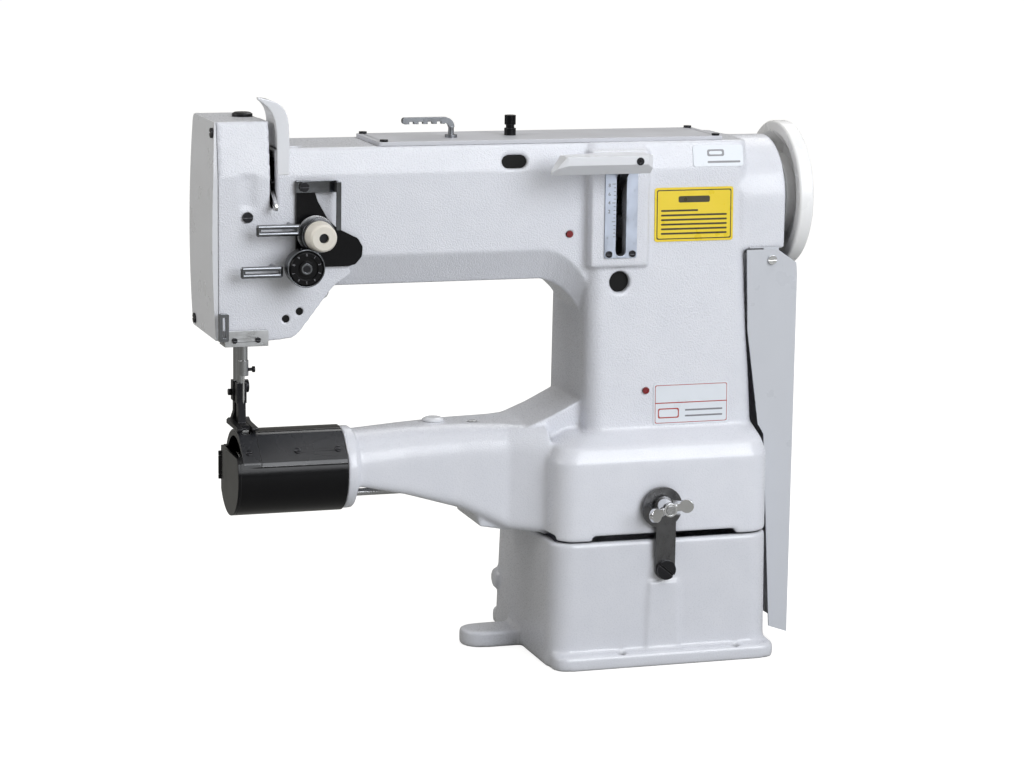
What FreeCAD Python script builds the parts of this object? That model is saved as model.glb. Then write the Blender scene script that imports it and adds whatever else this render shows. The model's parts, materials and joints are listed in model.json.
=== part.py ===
import FreeCAD, Part
import os
from math import cos, degrees, pi, radians, sin

V = FreeCAD.Vector
os.makedirs("parts", exist_ok=True)

# Cylinder-bed leather sewing machine, millimetres.
# +X runs from the needle to the handwheel, +Y away from the operator, +Z up from the bench.
# Everything is drawn with X measured from the needle. The export moves it by -ORIGIN_X, so that
# the origin lies on the bench, at the middle of the four bench bolts.

ORIGIN_X = 362.0

# Driving dimensions
SHAFT_Z = 394.0            # main shaft above the bench
SPLIT_Z = 109.5            # tilt joint between base and head
SPLIT_GAP = 0.6
CYL_Z = 168.5              # axis of the cylinder bed
CYL_R = 36.5
THROAT_Z = CYL_Z + CYL_R   # top of the cylinder, the sewing surface
ARM_HALF = 45.0            # half depth of the arm
ARM_UNDER_Z = 329.0
ARM_TOP_Z = 446.0
ARM_BEVEL_Z = 356.0
ARM_BEVEL_Y = 28.0
LEAN_Z = 424.0             # above this height the front leans back
LEAN = 0.163
HEAD_LEFT_X = -31.0
HEAD_RIGHT_X = 12.5
HEAD_TOP_Z = 468.0
HEAD_LOW_Z = 287.0
COLUMN_LEFT_X = 287.0
COLUMN_RIGHT_X = 441.0
HOUSING_LEFT_X = 251.0
HOUSING_RIGHT_X = 447.0
HOUSING_HALF = 85.0
HOUSING_TOP_Z = 196.0
WALL = 8.0
FLANGE_HALF = 96.0
FLANGE_T = 13.0
BOLT_DX = 104.0            # bench bolt spacing along X
BOLT_DY = 181.0            # bench bolt spacing along Y
BOLT_R = 3.3
COLLAR_R = 52.0            # round rear end of the arm
COLLAR_RIGHT_X = 466.0
WHEEL_R = 63.4
WHEEL_X0 = 474.0
WHEEL_X1 = 487.3
SHAFT_R = 7.0
LOWER_Z = 183.5            # lower shaft, 15 above the hook axis
LOWER_R = 5.0
HOOK_R = 22.5
STROKE = 34.0              # needle bar stroke
FIT = 0.05                 # radial running clearance
PRESSER_Y = 23.0
INNER_Y = 11.0
HINGE_Y = 94.0             # tilt hinge behind the base
HINGE_R = 4.0


# Shape helpers

def box(x0, x1, y0, y1, z0, z1):
    return Part.makeBox(x1 - x0, y1 - y0, z1 - z0, V(x0, y0, z0))


def rod_x(x0, x1, y, z, r):
    return Part.makeCylinder(r, x1 - x0, V(x0, y, z), V(1, 0, 0))


def rod_y(y0, y1, x, z, r):
    return Part.makeCylinder(r, y1 - y0, V(x, y0, z), V(0, 1, 0))


def rod_z(z0, z1, x, y, r):
    return Part.makeCylinder(r, z1 - z0, V(x, y, z0), V(0, 0, 1))


def tube_x(x0, x1, y, z, r_out, r_in):
    return rod_x(x0, x1, y, z, r_out).cut(rod_x(x0 - 1, x1 + 1, y, z, r_in))


def tube_y(y0, y1, x, z, r_out, r_in):
    return rod_y(y0, y1, x, z, r_out).cut(rod_y(y0 - 1, y1 + 1, x, z, r_in))


def cone_x(x0, x1, y, z, r0, r1):
    return Part.makeCone(r0, r1, x1 - x0, V(x0, y, z), V(1, 0, 0))


def cone_y(y0, y1, x, z, r0, r1):
    return Part.makeCone(r0, r1, y1 - y0, V(x, y0, z), V(0, 1, 0))


def fuse(*shapes):
    return shapes[0].multiFuse(list(shapes[1:])).removeSplitter()


def cut(shape, *tools):
    return shape.cut(list(tools))


def prism_y(points, y0, y1):
    """A closed outline of (x, z) points, drawn out from y0 to y1."""
    ring = [V(x, y0, z) for x, z in points]
    return Part.Face(Part.makePolygon(ring + ring[:1])).extrude(V(0, y1 - y0, 0))


def prism_x(points, x0, x1):
    """A closed outline of (y, z) points, drawn out from x0 to x1."""
    ring = [V(x0, y, z) for y, z in points]
    return Part.Face(Part.makePolygon(ring + ring[:1])).extrude(V(x1 - x0, 0, 0))


def prism_z(points, z0, z1):
    """A closed outline of (x, y) points, drawn out from z0 to z1."""
    ring = [V(x, y, z0) for x, y in points]
    return Part.Face(Part.makePolygon(ring + ring[:1])).extrude(V(0, 0, z1 - z0))


def edges_where(shape, test):
    """Straight edges whose end points both pass the test."""
    found = []
    for edge in shape.Edges:
        ends = [vertex.Point for vertex in edge.Vertexes]
        if len(ends) == 2 and edge.Curve.TypeId == "Part::GeomLine" and all(test(p) for p in ends):
            found.append(edge)
    return found


def along(shape, axis, test=lambda p: True):
    """Straight edges that run along an axis, x, y or z, and pass the test."""
    others = [name for name in "xyz" if name != axis]
    found = []
    for edge in edges_where(shape, test):
        first, last = (vertex.Point for vertex in edge.Vertexes)
        if all(abs(getattr(first, name) - getattr(last, name)) < 0.01 for name in others):
            found.append(edge)
    return found


def rounded_plan(x0, x1, half, z, r):
    """A wire in a level plane: a rectangle centred on Y = 0 with round corners."""
    plate = box(x0, x1, -half, half, z, z + 1)
    plate = plate.makeFillet(r, along(plate, "z"))
    level = [face for face in plate.Faces if abs(face.CenterOfMass.z - z) < 0.01]
    return level[0].OuterWire


def plan_loft(*sections):
    """A solid through rounded rectangles, each given as (x0, x1, half, z, r)."""
    return Part.makeLoft([rounded_plan(*section) for section in sections], True, True)


def arm_section(x, half, z0, z1, r_low, r_high):
    """A wire across the arm: a rectangle with its own low and high corner radius."""
    block = box(x, x + 1, -half, half, z0, z1)
    block = block.makeFillet(r_low, along(block, "x", lambda p: abs(p.z - z0) < 0.01))
    block = block.makeFillet(r_high, along(block, "x", lambda p: abs(p.z - z1) < 0.01))
    ends = [face for face in block.Faces if abs(face.CenterOfMass.x - x) < 0.01]
    return ends[0].OuterWire


def slot_y(y0, y1, x0, x1, z, r):
    """A level slot cutter through Y with round ends."""
    middle = box(x0, x1, y0, y1, z - r, z + r)
    return fuse(middle, rod_y(y0, y1, x0, z, r), rod_y(y0, y1, x1, z, r))


def upright_slot_y(y0, y1, x, z0, z1, r):
    middle = box(x - r, x + r, y0, y1, z0, z1)
    return fuse(middle, rod_y(y0, y1, x, z0, r), rod_y(y0, y1, x, z1, r))


def pan_screw_y(x, z, face_y, head_r, head_h, shank_r, shank_l):
    """A slotted pan head screw driven in the +Y direction."""
    head = rod_y(face_y - head_h, face_y, x, z, head_r)
    slot = box(x - head_r, x + head_r, face_y - head_h, face_y - head_h * 0.55, z - 0.5, z + 0.5)
    return fuse(cut(head, slot), rod_y(face_y, face_y + shank_l, x, z, shank_r))


def pan_screw_z(x, y, face_z, head_r, head_h, shank_r, shank_l):
    """A slotted pan head screw driven downwards."""
    head = rod_z(face_z, face_z + head_h, x, y, head_r)
    slot = box(x - head_r, x + head_r, y - 0.5, y + 0.5, face_z + head_h * 0.45, face_z + head_h)
    return fuse(cut(head, slot), rod_z(face_z - shank_l, face_z, x, y, shank_r))


def group(*solids):
    """Identical or like pieces kept as separate solids of one node."""
    return Part.makeCompound([solid for shape in solids for solid in shape.Solids])


def gear_x(x0, x1, y, z, r, teeth, depth):
    """A plain spur gear whose teeth are trapezoids."""
    points = []
    for i in range(teeth):
        for share, radius in ((-0.36, r - depth), (-0.16, r), (0.16, r), (0.36, r - depth)):
            angle = 2 * pi * (i + share) / teeth
            points.append((y + radius * cos(angle), z + radius * sin(angle)))
    return prism_x(points, x0, x1)


# Base

BASE_LEFT_X = 250.0
BASE_RIGHT_X = 447.0
BASE_TOP_Z = SPLIT_Z - SPLIT_GAP / 2
LUG_X = 215.5              # round end of the bench lug on the left
LUG_Y = 16.5
LUG_R = 18.0
LUG_T = 14.0
STRAP_X = 347.5
STRAP_Z = 84.0
STUD_X = 344.0
STUD_Z = 140.0
RING_R = 18.0              # open ring of the strap
RING_EYE_R = 8.2
HINGE_LUGS = ((286.0, 302.0), (398.0, 414.0))
KNUCKLE_W = 14.0


def base_casting():
    outer = plan_loft((BASE_LEFT_X - 3, BASE_RIGHT_X + 1, HOUSING_HALF + 2, 0, 20),
                      (BASE_LEFT_X, BASE_RIGHT_X, HOUSING_HALF, BASE_TOP_Z, 20))
    flange = box(BASE_LEFT_X - 1, BASE_RIGHT_X + 4, -FLANGE_HALF, FLANGE_HALF, 0, FLANGE_T)
    flange = flange.makeFillet(13, along(flange, "z"))
    flange = flange.makeFillet(3, edges_where(flange, lambda p: p.z > FLANGE_T - 0.1))
    lug = fuse(box(LUG_X, 262, LUG_Y - LUG_R, LUG_Y + LUG_R, 0, LUG_T), rod_z(0, LUG_T, LUG_X, LUG_Y, LUG_R))
    rib = prism_y([(333, 13), (362, 13), (361, 72), (335, 72)], -HOUSING_HALF - 3.5, -HOUSING_HALF + 4)
    boss = rod_y(-HOUSING_HALF - 2.6, -HOUSING_HALF + 4, STRAP_X, STRAP_Z, 10)
    side_boss = rod_x(BASE_LEFT_X - 6, BASE_LEFT_X + 4, 70, 44, 9)
    body = fuse(outer, flange, lug, rib, boss, side_boss)
    hollow = plan_loft((BASE_LEFT_X + WALL - 3, BASE_RIGHT_X - WALL, HOUSING_HALF - WALL + 2, -1, 13),
                       (BASE_LEFT_X + WALL, BASE_RIGHT_X - WALL, HOUSING_HALF - WALL, 130, 13))
    body = cut(body, hollow)
    body = fuse(body, *[hinge_lug(x0, x1) for x0, x1 in HINGE_LUGS])
    for x in (ORIGIN_X - BOLT_DX / 2, ORIGIN_X + BOLT_DX / 2):
        for y in (-BOLT_DY / 2, BOLT_DY / 2):
            body = cut(body, rod_z(-1, FLANGE_T + 1, x, y, BOLT_R))
    screw_hole = rod_y(-HOUSING_HALF - 3, -HOUSING_HALF + 20, STRAP_X, STRAP_Z, 3)
    pins = [rod_x(x0 - 1, x1 + 1, HINGE_Y, SPLIT_Z, HINGE_R) for x0, x1 in HINGE_LUGS]
    return cut(body, screw_hole, *pins)


def hinge_lug(x0, x1):
    """A bearing eye behind the base, on a web down to its rear wall."""
    web = prism_x([(84, 62), (HINGE_Y + 7, SPLIT_Z - 2), (HINGE_Y - 7.5, SPLIT_Z - 2), (84, BASE_TOP_Z)],
                  x0, x1)
    return fuse(rod_x(x0, x1, HINGE_Y, SPLIT_Z, 7.5), web)


def tilt_hinge_pins():
    pins = []
    for x0, x1 in HINGE_LUGS:
        shank = rod_x(x0 - 1, x1 + KNUCKLE_W + 3, HINGE_Y, SPLIT_Z, HINGE_R)
        pins.append(fuse(shank, rod_x(x0 - 4, x0 - 0.5, HINGE_Y, SPLIT_Z, 6.5)))
    return group(*pins)


def lock_strap():
    """A flat hook: it turns on its low screw and its open ring catches the stud."""
    y0, y1 = -91.2, -88.0
    shank = box(STRAP_X - 9, STRAP_X + 9, y0, y1, STRAP_Z, STUD_Z)
    body = fuse(shank, rod_y(y0, y1, STRAP_X, STRAP_Z, 9), rod_y(y0, y1, STUD_X, STUD_Z - 2, RING_R))
    eye = rod_y(y0 - 1, y1 + 1, STUD_X, STUD_Z, RING_EYE_R)
    mouth = prism_y([(STUD_X, STUD_Z + RING_EYE_R), (STUD_X + 10, STUD_Z + 4), (STUD_X + 30, STUD_Z + 1),
                     (STUD_X + 30, STUD_Z - 9), (STUD_X, STUD_Z - RING_EYE_R)], y0 - 1, y1 + 1)
    return cut(body, eye, mouth, rod_y(y0 - 1, y1 + 1, STRAP_X, STRAP_Z, 4.05))


def strap_screw():
    """A shoulder screw: the strap turns on its shoulder."""
    slot = box(-10, 10, -95.3, -93.4, -0.9, 0.9)
    slot.rotate(V(0, 0, 0), V(0, 1, 0), 40)
    slot.translate(V(STRAP_X, 0, STRAP_Z))
    head = cut(rod_y(-95.2, -91.4, STRAP_X, STRAP_Z, 8.4), slot)
    shoulder = rod_y(-91.4, -87.6, STRAP_X, STRAP_Z, 4)
    return fuse(head, shoulder, rod_y(-87.6, -70, STRAP_X, STRAP_Z, 3))


def lock_stud():
    collar = rod_y(-87.8, -HOUSING_HALF, STUD_X, STUD_Z, 9)
    return fuse(collar, rod_y(-111.5, -HOUSING_HALF + 14, STUD_X, STUD_Z, 4))


def wing_nut():
    hub = fuse(cone_y(-106, -94.5, STUD_X, STUD_Z, 6, 8.8), rod_y(-111, -106, STUD_X, STUD_Z, 6))
    wings = []
    for side in (-1, 1):
        wing = box(3, 16, -2, 2, -3.2, 3.2)
        tip = rod_y(-2, 2, 16.5, 0, 6)
        blade = fuse(wing, tip)
        blade.rotate(V(0, 0, 0), V(0, 0, 1), -28)
        if side < 0:
            blade.rotate(V(0, 0, 0), V(0, 1, 0), 180)
        blade.rotate(V(0, 0, 0), V(0, 1, 0), -14)
        blade.translate(V(STUD_X, -104, STUD_Z))
        wings.append(blade)
    return cut(fuse(hub, *wings), rod_y(-120, -90, STUD_X, STUD_Z, 4 + FIT))


# Main casting: housing, hollow column, arm, head and cylinder arm in one piece

HOUSING_Z0 = SPLIT_Z + SPLIT_GAP / 2
KNEE_DROPS = ((252, 0), (262, 3), (271, 8.5), (279, 16), (286, 26), (291, 37))
COLUMN_HALF_LOW = 58.0
COLUMN_HALF_TOP = 52.0
COLUMN_HALVES = ((188.0, 58.0), (352.0, 52.0), (LEAN_Z, 50.0), (ARM_TOP_Z, 45.0))    # height, half depth
LABEL_T = 0.6
RING_X0 = 82.5
RING_X1 = 92.0
CAP_X1 = 82.0
SLOT_X = 14.8              # plane of the take-up lever
PILLAR_Y = 16.0            # pivot of the swinging needle bar frame
PIVOT_Z = 440.0
COVER_X0 = 105.2
COVER_X1 = 410.4
COVER_Y0 = -40.5
COVER_Y1 = 34.0
LEVER_X = 313.0            # slot of the stitch lever
LEVER_PIVOT_Z = 372.0
SCALE_X0 = 298.5
SCALE_X1 = 327.5
BOSS_X0 = 287.0
BOSS_X1 = 339.0
FRONT_Y = -57.0            # face of the raised boss around the stitch lever


def arm_outline(half):
    """Cross-section of the arm: bevelled below, leaning back above."""
    lean_top = (ARM_TOP_Z - LEAN_Z) * LEAN
    return [(-ARM_BEVEL_Y, ARM_UNDER_Z), (-half, ARM_BEVEL_Z), (-half, LEAN_Z), (-half + lean_top, ARM_TOP_Z),
            (half - lean_top, ARM_TOP_Z), (half, LEAN_Z), (half, ARM_BEVEL_Z), (ARM_BEVEL_Y, ARM_UNDER_Z)]


def head_block():
    """The head and its chin, trimmed by the same lean as the arm."""
    side = prism_y([(HEAD_LEFT_X, HEAD_LOW_Z), (12, HEAD_LOW_Z), (31, 289), (37.5, 294), (66, 331), (80, 340),
                    (80, 430), (HEAD_RIGHT_X, ARM_TOP_Z), (HEAD_RIGHT_X, HEAD_TOP_Z),
                    (HEAD_LEFT_X, HEAD_TOP_Z)], -ARM_HALF, ARM_HALF)
    lean_top = (HEAD_TOP_Z - LEAN_Z) * LEAN
    trim = prism_x([(-ARM_HALF, HEAD_LOW_Z), (-ARM_HALF, LEAN_Z), (-ARM_HALF + lean_top, HEAD_TOP_Z),
                    (ARM_HALF, HEAD_TOP_Z), (ARM_HALF, HEAD_LOW_Z)], HEAD_LEFT_X - 1, 100)
    return side.common(trim)


def cylinder_arm():
    sections = [arm_section(RING_X1 - 1, 31, 156.5, 200.5, 5, 29),
                arm_section(135, 33, 147, 203, 7, 27),
                arm_section(180, 37, 134, 204.5, 9, 25),
                arm_section(222, 43, 114, 204, 9, 23),
                arm_section(HOUSING_LEFT_X + 4, 60, 112, 203, 9, 22)]
    body = Part.makeLoft(sections, True, True)
    ring = rod_x(RING_X0, RING_X1, 0, CYL_Z, CYL_R - 1.2)
    gusset = prism_y([(228, 196), (240, 203), (262, 212), (290, 226), (290, 190)], -38, 38)
    under_lug = prism_y([(186, 150), (199, 117), (222, 112.6), (256, 112.6), (256, 150)], -34, 34)
    plug_boss = rod_z(198, 204.7, 166, 0, 11)
    return body, ring, gusset, under_lug, plug_boss


def main_solid():
    housing = plan_loft((HOUSING_LEFT_X, HOUSING_RIGHT_X, HOUSING_HALF, HOUSING_Z0, 20),
                        (HOUSING_LEFT_X, HOUSING_RIGHT_X, HOUSING_HALF - 0.5, 178, 20),
                        (HOUSING_LEFT_X + 5, HOUSING_RIGHT_X - 3, HOUSING_HALF - 6, 190, 20),
                        (HOUSING_LEFT_X + 24, HOUSING_RIGHT_X - 5, HOUSING_HALF - 24, HOUSING_TOP_Z + 3, 18))
    upper_right = COLUMN_RIGHT_X - 9
    corners = ((COLUMN_RIGHT_X, 15), (upper_right, 13), (upper_right, 12), (upper_right, 8))
    column = plan_loft(*[(COLUMN_LEFT_X, x1, half, z, r)
                         for (z, half), (x1, r) in zip(COLUMN_HALVES, corners)])
    arm = prism_x(arm_outline(ARM_HALF), 20, 420)
    knee = Part.makeLoft([knee_section(x, drop) for x, drop in KNEE_DROPS], True, True)
    boss = prism_y([(BOSS_X0, 341), (BOSS_X1, 341), (BOSS_X1, 440), (BOSS_X0, 440)], FRONT_Y, -38)
    collar = fuse(rod_x(425, COLLAR_RIGHT_X, 0, SHAFT_Z, COLLAR_R),
                  box(425, COLLAR_RIGHT_X, -COLLAR_R, COLLAR_R, 352, SHAFT_Z))
    knuckles = [hinge_knuckle(x1) for _, x1 in HINGE_LUGS]
    return fuse(housing, column, arm, knee, boss, collar, head_block(), *cylinder_arm(), *knuckles)


def knee_section(x, drop):
    """A wire across the arm next to the column, with its underside lowered by a drop."""
    points = [(-ARM_BEVEL_Y, ARM_UNDER_Z - drop), (-ARM_HALF, ARM_BEVEL_Z - drop), (-ARM_HALF, 400),
              (ARM_HALF, 400), (ARM_HALF, ARM_BEVEL_Z - drop), (ARM_BEVEL_Y, ARM_UNDER_Z - drop)]
    ring = [V(x, y, z) for y, z in points]
    return Part.makePolygon(ring + ring[:1])


def hinge_knuckle(x1):
    x0 = x1 + 1
    web = prism_x([(80, 124), (HINGE_Y + 4, SPLIT_Z + 6), (HINGE_Y - 6, SPLIT_Z + 2), (80, HOUSING_Z0 + 1)],
                  x0, x0 + KNUCKLE_W)
    return fuse(rod_x(x0, x0 + KNUCKLE_W, HINGE_Y, SPLIT_Z, 7.5), web)


def main_hollows():
    """Everything that is cast or machined out of the main casting."""
    arm_room = fuse(box(26, 300, -37, 37, ARM_BEVEL_Z + 2, 437), box(26, 300, -24, 24, 338, ARM_BEVEL_Z + 4))
    column_room = plan_loft((COLUMN_LEFT_X + 10, COLUMN_RIGHT_X - 10, COLUMN_HALF_LOW - WALL, 170, 8),
                            (COLUMN_LEFT_X + 10, COLUMN_RIGHT_X - 18, COLUMN_HALF_TOP - 12, 437, 8))
    housing_room = box(HOUSING_LEFT_X + WALL, HOUSING_RIGHT_X - WALL, -77, 77, 100, 179)
    head_room = box(HEAD_LEFT_X - 1, 27, -37, 37, 302, 437)
    head_top_room = box(HEAD_LEFT_X - 1, 7, -31, 37, 430, 460)
    bar_door = box(-13, 9, -11, 30, 280, 310)
    cover_door = box(COVER_X0 + 6, COVER_X1 - 6, -34, 28, 430, 460)
    shaft_tunnel = box(108, 300, -13, 13, 168, 194)
    collar_room = rod_x(436, 445, 0, SHAFT_Z, 30)
    bearing_seat = rod_x(444, 458, 0, SHAFT_Z, 21)
    shaft_exit = rod_x(410, 480, 0, SHAFT_Z, 12)
    take_up_slot = box(SLOT_X - 2.3, SLOT_X + 2.3, -60, -13, 396, 470)
    lock_slot = slot_y(-95, -70, 286, 412, 112, 2.4)
    side_notch = box(HOUSING_LEFT_X - 5, HOUSING_LEFT_X + 20, -74, -48, 105, 115)
    lever_slot = box(LEVER_X - 5.6, LEVER_X + 5.6, FRONT_Y - 1, -35, 350, 423)
    round_hole = rod_y(-70, -35, 315, 327.6, 9.1)
    oblong = slot_y(-60, -30, 217, 228, 431, 5.6)
    feed_hole = rod_x(60, 300, 0, 145.5, 3.2 + FIT)
    lower_bush_seat = rod_x(80, 110, 0, LOWER_Z, 9)
    oil_slot = box(32, 41, -35, -26, 430, ARM_TOP_Z + 1)
    head_groove = rod_z(397, LEAN_Z, -6, -ARM_HALF - GROOVE_R + GROOVE_DEPTH, GROOVE_R)
    return [arm_room, column_room, housing_room, head_room, head_top_room, bar_door, cover_door, shaft_tunnel,
            collar_room, bearing_seat, shaft_exit, take_up_slot, lock_slot, side_notch, lever_slot,
            round_hole, oblong, feed_hole, lower_bush_seat, oil_slot, head_groove]


GROOVE_R = 18.0            # shallow groove in the front of the head
GROOVE_DEPTH = 1.8
BUSH_X0 = 34.0
BUSH_X1 = 60.0
PIN_X0 = -26.0
PIN_X1 = 9.0
PRESSER_R = 3.7
NEEDLE_BAR_R = 3.5
INNER_R = 3.0


def inner_bosses():
    """Bearing walls and guide bosses inside the hollow arm and head."""
    front_wall = fuse(box(42, 50, -38, 38, 336, 438), rod_x(BUSH_X0, BUSH_X1, 0, SHAFT_Z, 16))
    pivot_boss = fuse(box(2, 9, PILLAR_Y - 7, 38, 432, 447), rod_x(2, 9, PILLAR_Y, PIVOT_Z, 7))
    upper_guide = fuse(rod_z(408, 420, 0, PRESSER_Y, 6), box(-5, 5, PRESSER_Y + 2, 38, 408, 420))
    low_guide = fuse(rod_z(HEAD_LOW_Z, 302, 0, PRESSER_Y, 5.2), box(-13, 9, PRESSER_Y, 38, HEAD_LOW_Z, 302))
    lever_walls = group(*[box(x0, x0 + 5, -48, 47, 362, 382) for x0 in (299, 322)])
    belt_wall = box(408, 416, -54, 54, 170, 200)
    lever_boss = fuse(rod_y(34, 48, 40, 330, 9), box(31, 49, 38, 45, 330, 345))
    return front_wall, pivot_boss, upper_guide, low_guide, lever_walls, belt_wall, lever_boss


def main_casting():
    body = cut(main_solid(), *main_hollows())
    body = fuse(body, *inner_bosses())
    bores = [rod_x(BUSH_X0 - 1, BUSH_X1 + 1, 0, SHAFT_Z, 11),
             rod_x(PIN_X0, PIN_X1 + 1, PILLAR_Y, PIVOT_Z, 3.5),
             rod_z(280, 312, 0, PRESSER_Y, PRESSER_R + FIT),
             rod_z(400, 425, 0, PRESSER_Y, PRESSER_R + FIT),
             rod_x(298, 335, 0, LEVER_PIVOT_Z, 5 + FIT),
             rod_x(400, 420, 0, LOWER_Z, 9),
             rod_x(42, 51, TAKE_UP_Y, TAKE_UP_Z, 3),
             rod_y(20, 60, 40, 330, 4 + FIT),
             rod_z(455, 475, 2, 12, 5 + FIT),
             rod_z(466.4, 475, 2, 12, 9.0),
             rod_y(-60, -30, 48.3, 376.4, 4),
             rod_y(-60, -30, 35.5, 351, 3),
             rod_y(-HOUSING_HALF - 1, -HOUSING_HALF + 15, STUD_X, STUD_Z, 4),
             rod_z(190, 207, 166, 0, 6),
             rod_z(194, 206, 199, -8, 4.5)]
    bores += [rod_x(x1, x1 + KNUCKLE_W + 2, HINGE_Y, SPLIT_Z, HINGE_R + FIT) for _, x1 in HINGE_LUGS]
    bores += [rod_y(-60, -30, x, z, 3) for x, z in OIL_HOLES]
    bores += [rod_y(-60, -36, x, z, CHIN_HOLE_R) for x, z in CHIN_HOLES]
    bores += [rod_y(-FLANGE_HALF, -36, x, z, 1.5) for x, z in FRONT_SCREW_HOLES]
    bores += [rod_z(430, 447, x, y, 1.8) for x, y in COVER_SCREWS]
    bores += [rod_x(HEAD_LEFT_X - 1, HEAD_LEFT_X + 12, y, z, 1.8) for y, z in FACE_SCREWS]
    return cut(body, *bores)


OIL_HOLES = ((271.6, 369.0),)
CHIN_HOLES = ((37.1, 311.0), (25.7, 305.2))
CHIN_HOLE_R = 3.0
BRACKET_Z = 289.6
COVER_SCREWS = ((COVER_X0 + 5.5, COVER_Y0 + 3.6), (COVER_X0 + 5.5, COVER_Y1 - 3.6),
                (COVER_X1 - 5.5, COVER_Y0 + 3.6), (COVER_X1 - 5.5, COVER_Y1 - 3.6))
FACE_SCREWS = ((-33.5, 459.0), (33.5, 296.0))
FRONT_SCREW_HOLES = ((-6.7, 390.5), (39.6, 415.0), (302.5, 352.6), (323.5, 352.6),
                     (-19.0, BRACKET_Z), (0.7, BRACKET_Z))


def top_cover():
    plate = box(COVER_X0, COVER_X1, COVER_Y0, COVER_Y1, ARM_TOP_Z, ARM_TOP_Z + 3.4)
    plate = plate.makeFillet(3, along(plate, "z"))
    holes = [rod_z(440, 455, x, y, 1.8) for x, y in COVER_SCREWS]
    holes += [rod_z(440, 455, x, y, 2.0) for x, y in (GUIDE_FOOT, POST_FOOT)]
    return cut(plate, *holes)


GUIDE_FOOT = (176.0, -12.0)
POST_FOOT = (231.0, -3.0)


def top_cover_screws():
    return [pan_screw_z(x, y, ARM_TOP_Z + 3.4, 3.4, 1.8, 1.8, 12) for x, y in COVER_SCREWS]


COMB_Z0 = 461.0
COMB_Z1 = 466.6
COMB_BEND_R = 8.4


def comb_guide():
    """A foot, an upright that bends over and a flat comb along -X with four thread notches."""
    x, y = GUIDE_FOOT
    top = ARM_TOP_Z + 3.4
    foot = fuse(rod_z(top, top + 2.4, x, y, 5.2), rod_z(top - 8, top, x, y, 2.0))
    bend_x, bend_z = x + 2.4 - COMB_BEND_R, COMB_Z1 - COMB_BEND_R
    post = rod_z(top + 2, bend_z + 0.2, x, y, 2.4)
    bend = tube_y(y - 2.2, y + 2.2, bend_x, bend_z, COMB_BEND_R, COMB_BEND_R - 4.8)
    bend = bend.common(box(bend_x, x + 4, y - 4, y + 4, bend_z, COMB_Z1 + 1))
    comb = box(x - 43, bend_x + 0.2, y - 2.2, y + 2.2, COMB_Z0, COMB_Z1)
    comb = comb.makeFillet(2.4, along(comb, "y", lambda p: p.x < x - 40))
    notches = [box(x - 37 + 8 * i, x - 33 + 8 * i, y - 3, y + 3, COMB_Z0 - 1, COMB_Z0 + 2) for i in range(4)]
    return fuse(foot, post, bend, cut(comb, *notches))


def thread_post():
    """A short waisted black post that guides the thread over the cover."""
    x, y = POST_FOOT
    top = ARM_TOP_Z + 3.4
    return fuse(rod_z(top - 8, top, x, y, 2.0), rod_z(top, top + 6, x, y, 5.0),
                rod_z(top + 6, top + 9, x, y, 3.6), rod_z(top + 9, top + 17, x, y, 4.8))


FACE_T = 4.6               # thickness of the face plate at the middle of its bow
FACE_BOW_R = 1300.0
FACE_BOW_Z = 372.0
FACE_HEAD_R = 4.2


def face_x(z):
    """X of the bowed outer surface of the face plate at a height."""
    bow = FACE_BOW_R - (FACE_BOW_R ** 2 - (z - FACE_BOW_Z) ** 2) ** 0.5
    return HEAD_LEFT_X - 0.4 - FACE_T + bow


def face_plate():
    """A shallow bowed cover that closes the end of the head."""
    x = HEAD_LEFT_X - 0.4
    plate = box(x - FACE_T, x, -ARM_HALF, ARM_HALF, HEAD_LOW_Z + 2, HEAD_TOP_Z)
    lean_top = (HEAD_TOP_Z - LEAN_Z) * LEAN
    trim = prism_x([(-ARM_HALF, HEAD_LOW_Z), (-ARM_HALF, LEAN_Z), (-ARM_HALF + lean_top, HEAD_TOP_Z),
                    (ARM_HALF, HEAD_TOP_Z), (ARM_HALF, HEAD_LOW_Z)], x - 20, x + 1)
    trim = trim.makeFillet(6, along(trim, "x", lambda p: p.y > 0))
    bow = rod_y(-50, 50, x - FACE_T + FACE_BOW_R, FACE_BOW_Z, FACE_BOW_R)
    plate = plate.common(trim).common(bow)
    return cut(plate, *[rod_x(x - 10, x + 2, y, z, 1.8) for y, z in FACE_SCREWS])


def face_plate_screws():
    screws = []
    for y, z in FACE_SCREWS:
        x = min(face_x(z - FACE_HEAD_R), face_x(z + FACE_HEAD_R)) - 0.02
        head = cut(rod_x(x - 1.5, x, y, z, FACE_HEAD_R), box(x - 2, x - 0.8, y - 5, y + 5, z - 0.5, z + 0.5))
        screws.append(fuse(head, rod_x(x, x + 13, y, z, 1.8)))
    return screws


def front_screws():
    """Screws in the front: head, guide strip, scale plate, head bracket and belt guard."""
    screws = [pan_screw_y(-6.7, 390.5, -ARM_HALF, 4.4, 2.2, 1.5, 7),
              pan_screw_y(39.6, 415, -49.8, 4.0, 2.4, 1.5, 12),
              pan_screw_y(453, 343, -GUARD_HALF, 4.0, 2.2, 2.0, 5)]
    screws += [pan_screw_y(x, 352.6, FRONT_Y - 1.2, 2.9, 1.4, 1.5, 7) for x in (302.5, 323.5)]
    screws += [pan_screw_y(x, BRACKET_Z, -50.5, 2.3, 1.6, 1.5, 12) for x in (-19.0, 0.7)]
    return screws


def smooth_edge(points, y):
    """A smooth edge through (x, z) points in the upright plane at y."""
    curve = Part.BSplineCurve()
    curve.interpolate([V(x, y, z) for x, z in points])
    return curve.toShape()


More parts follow.
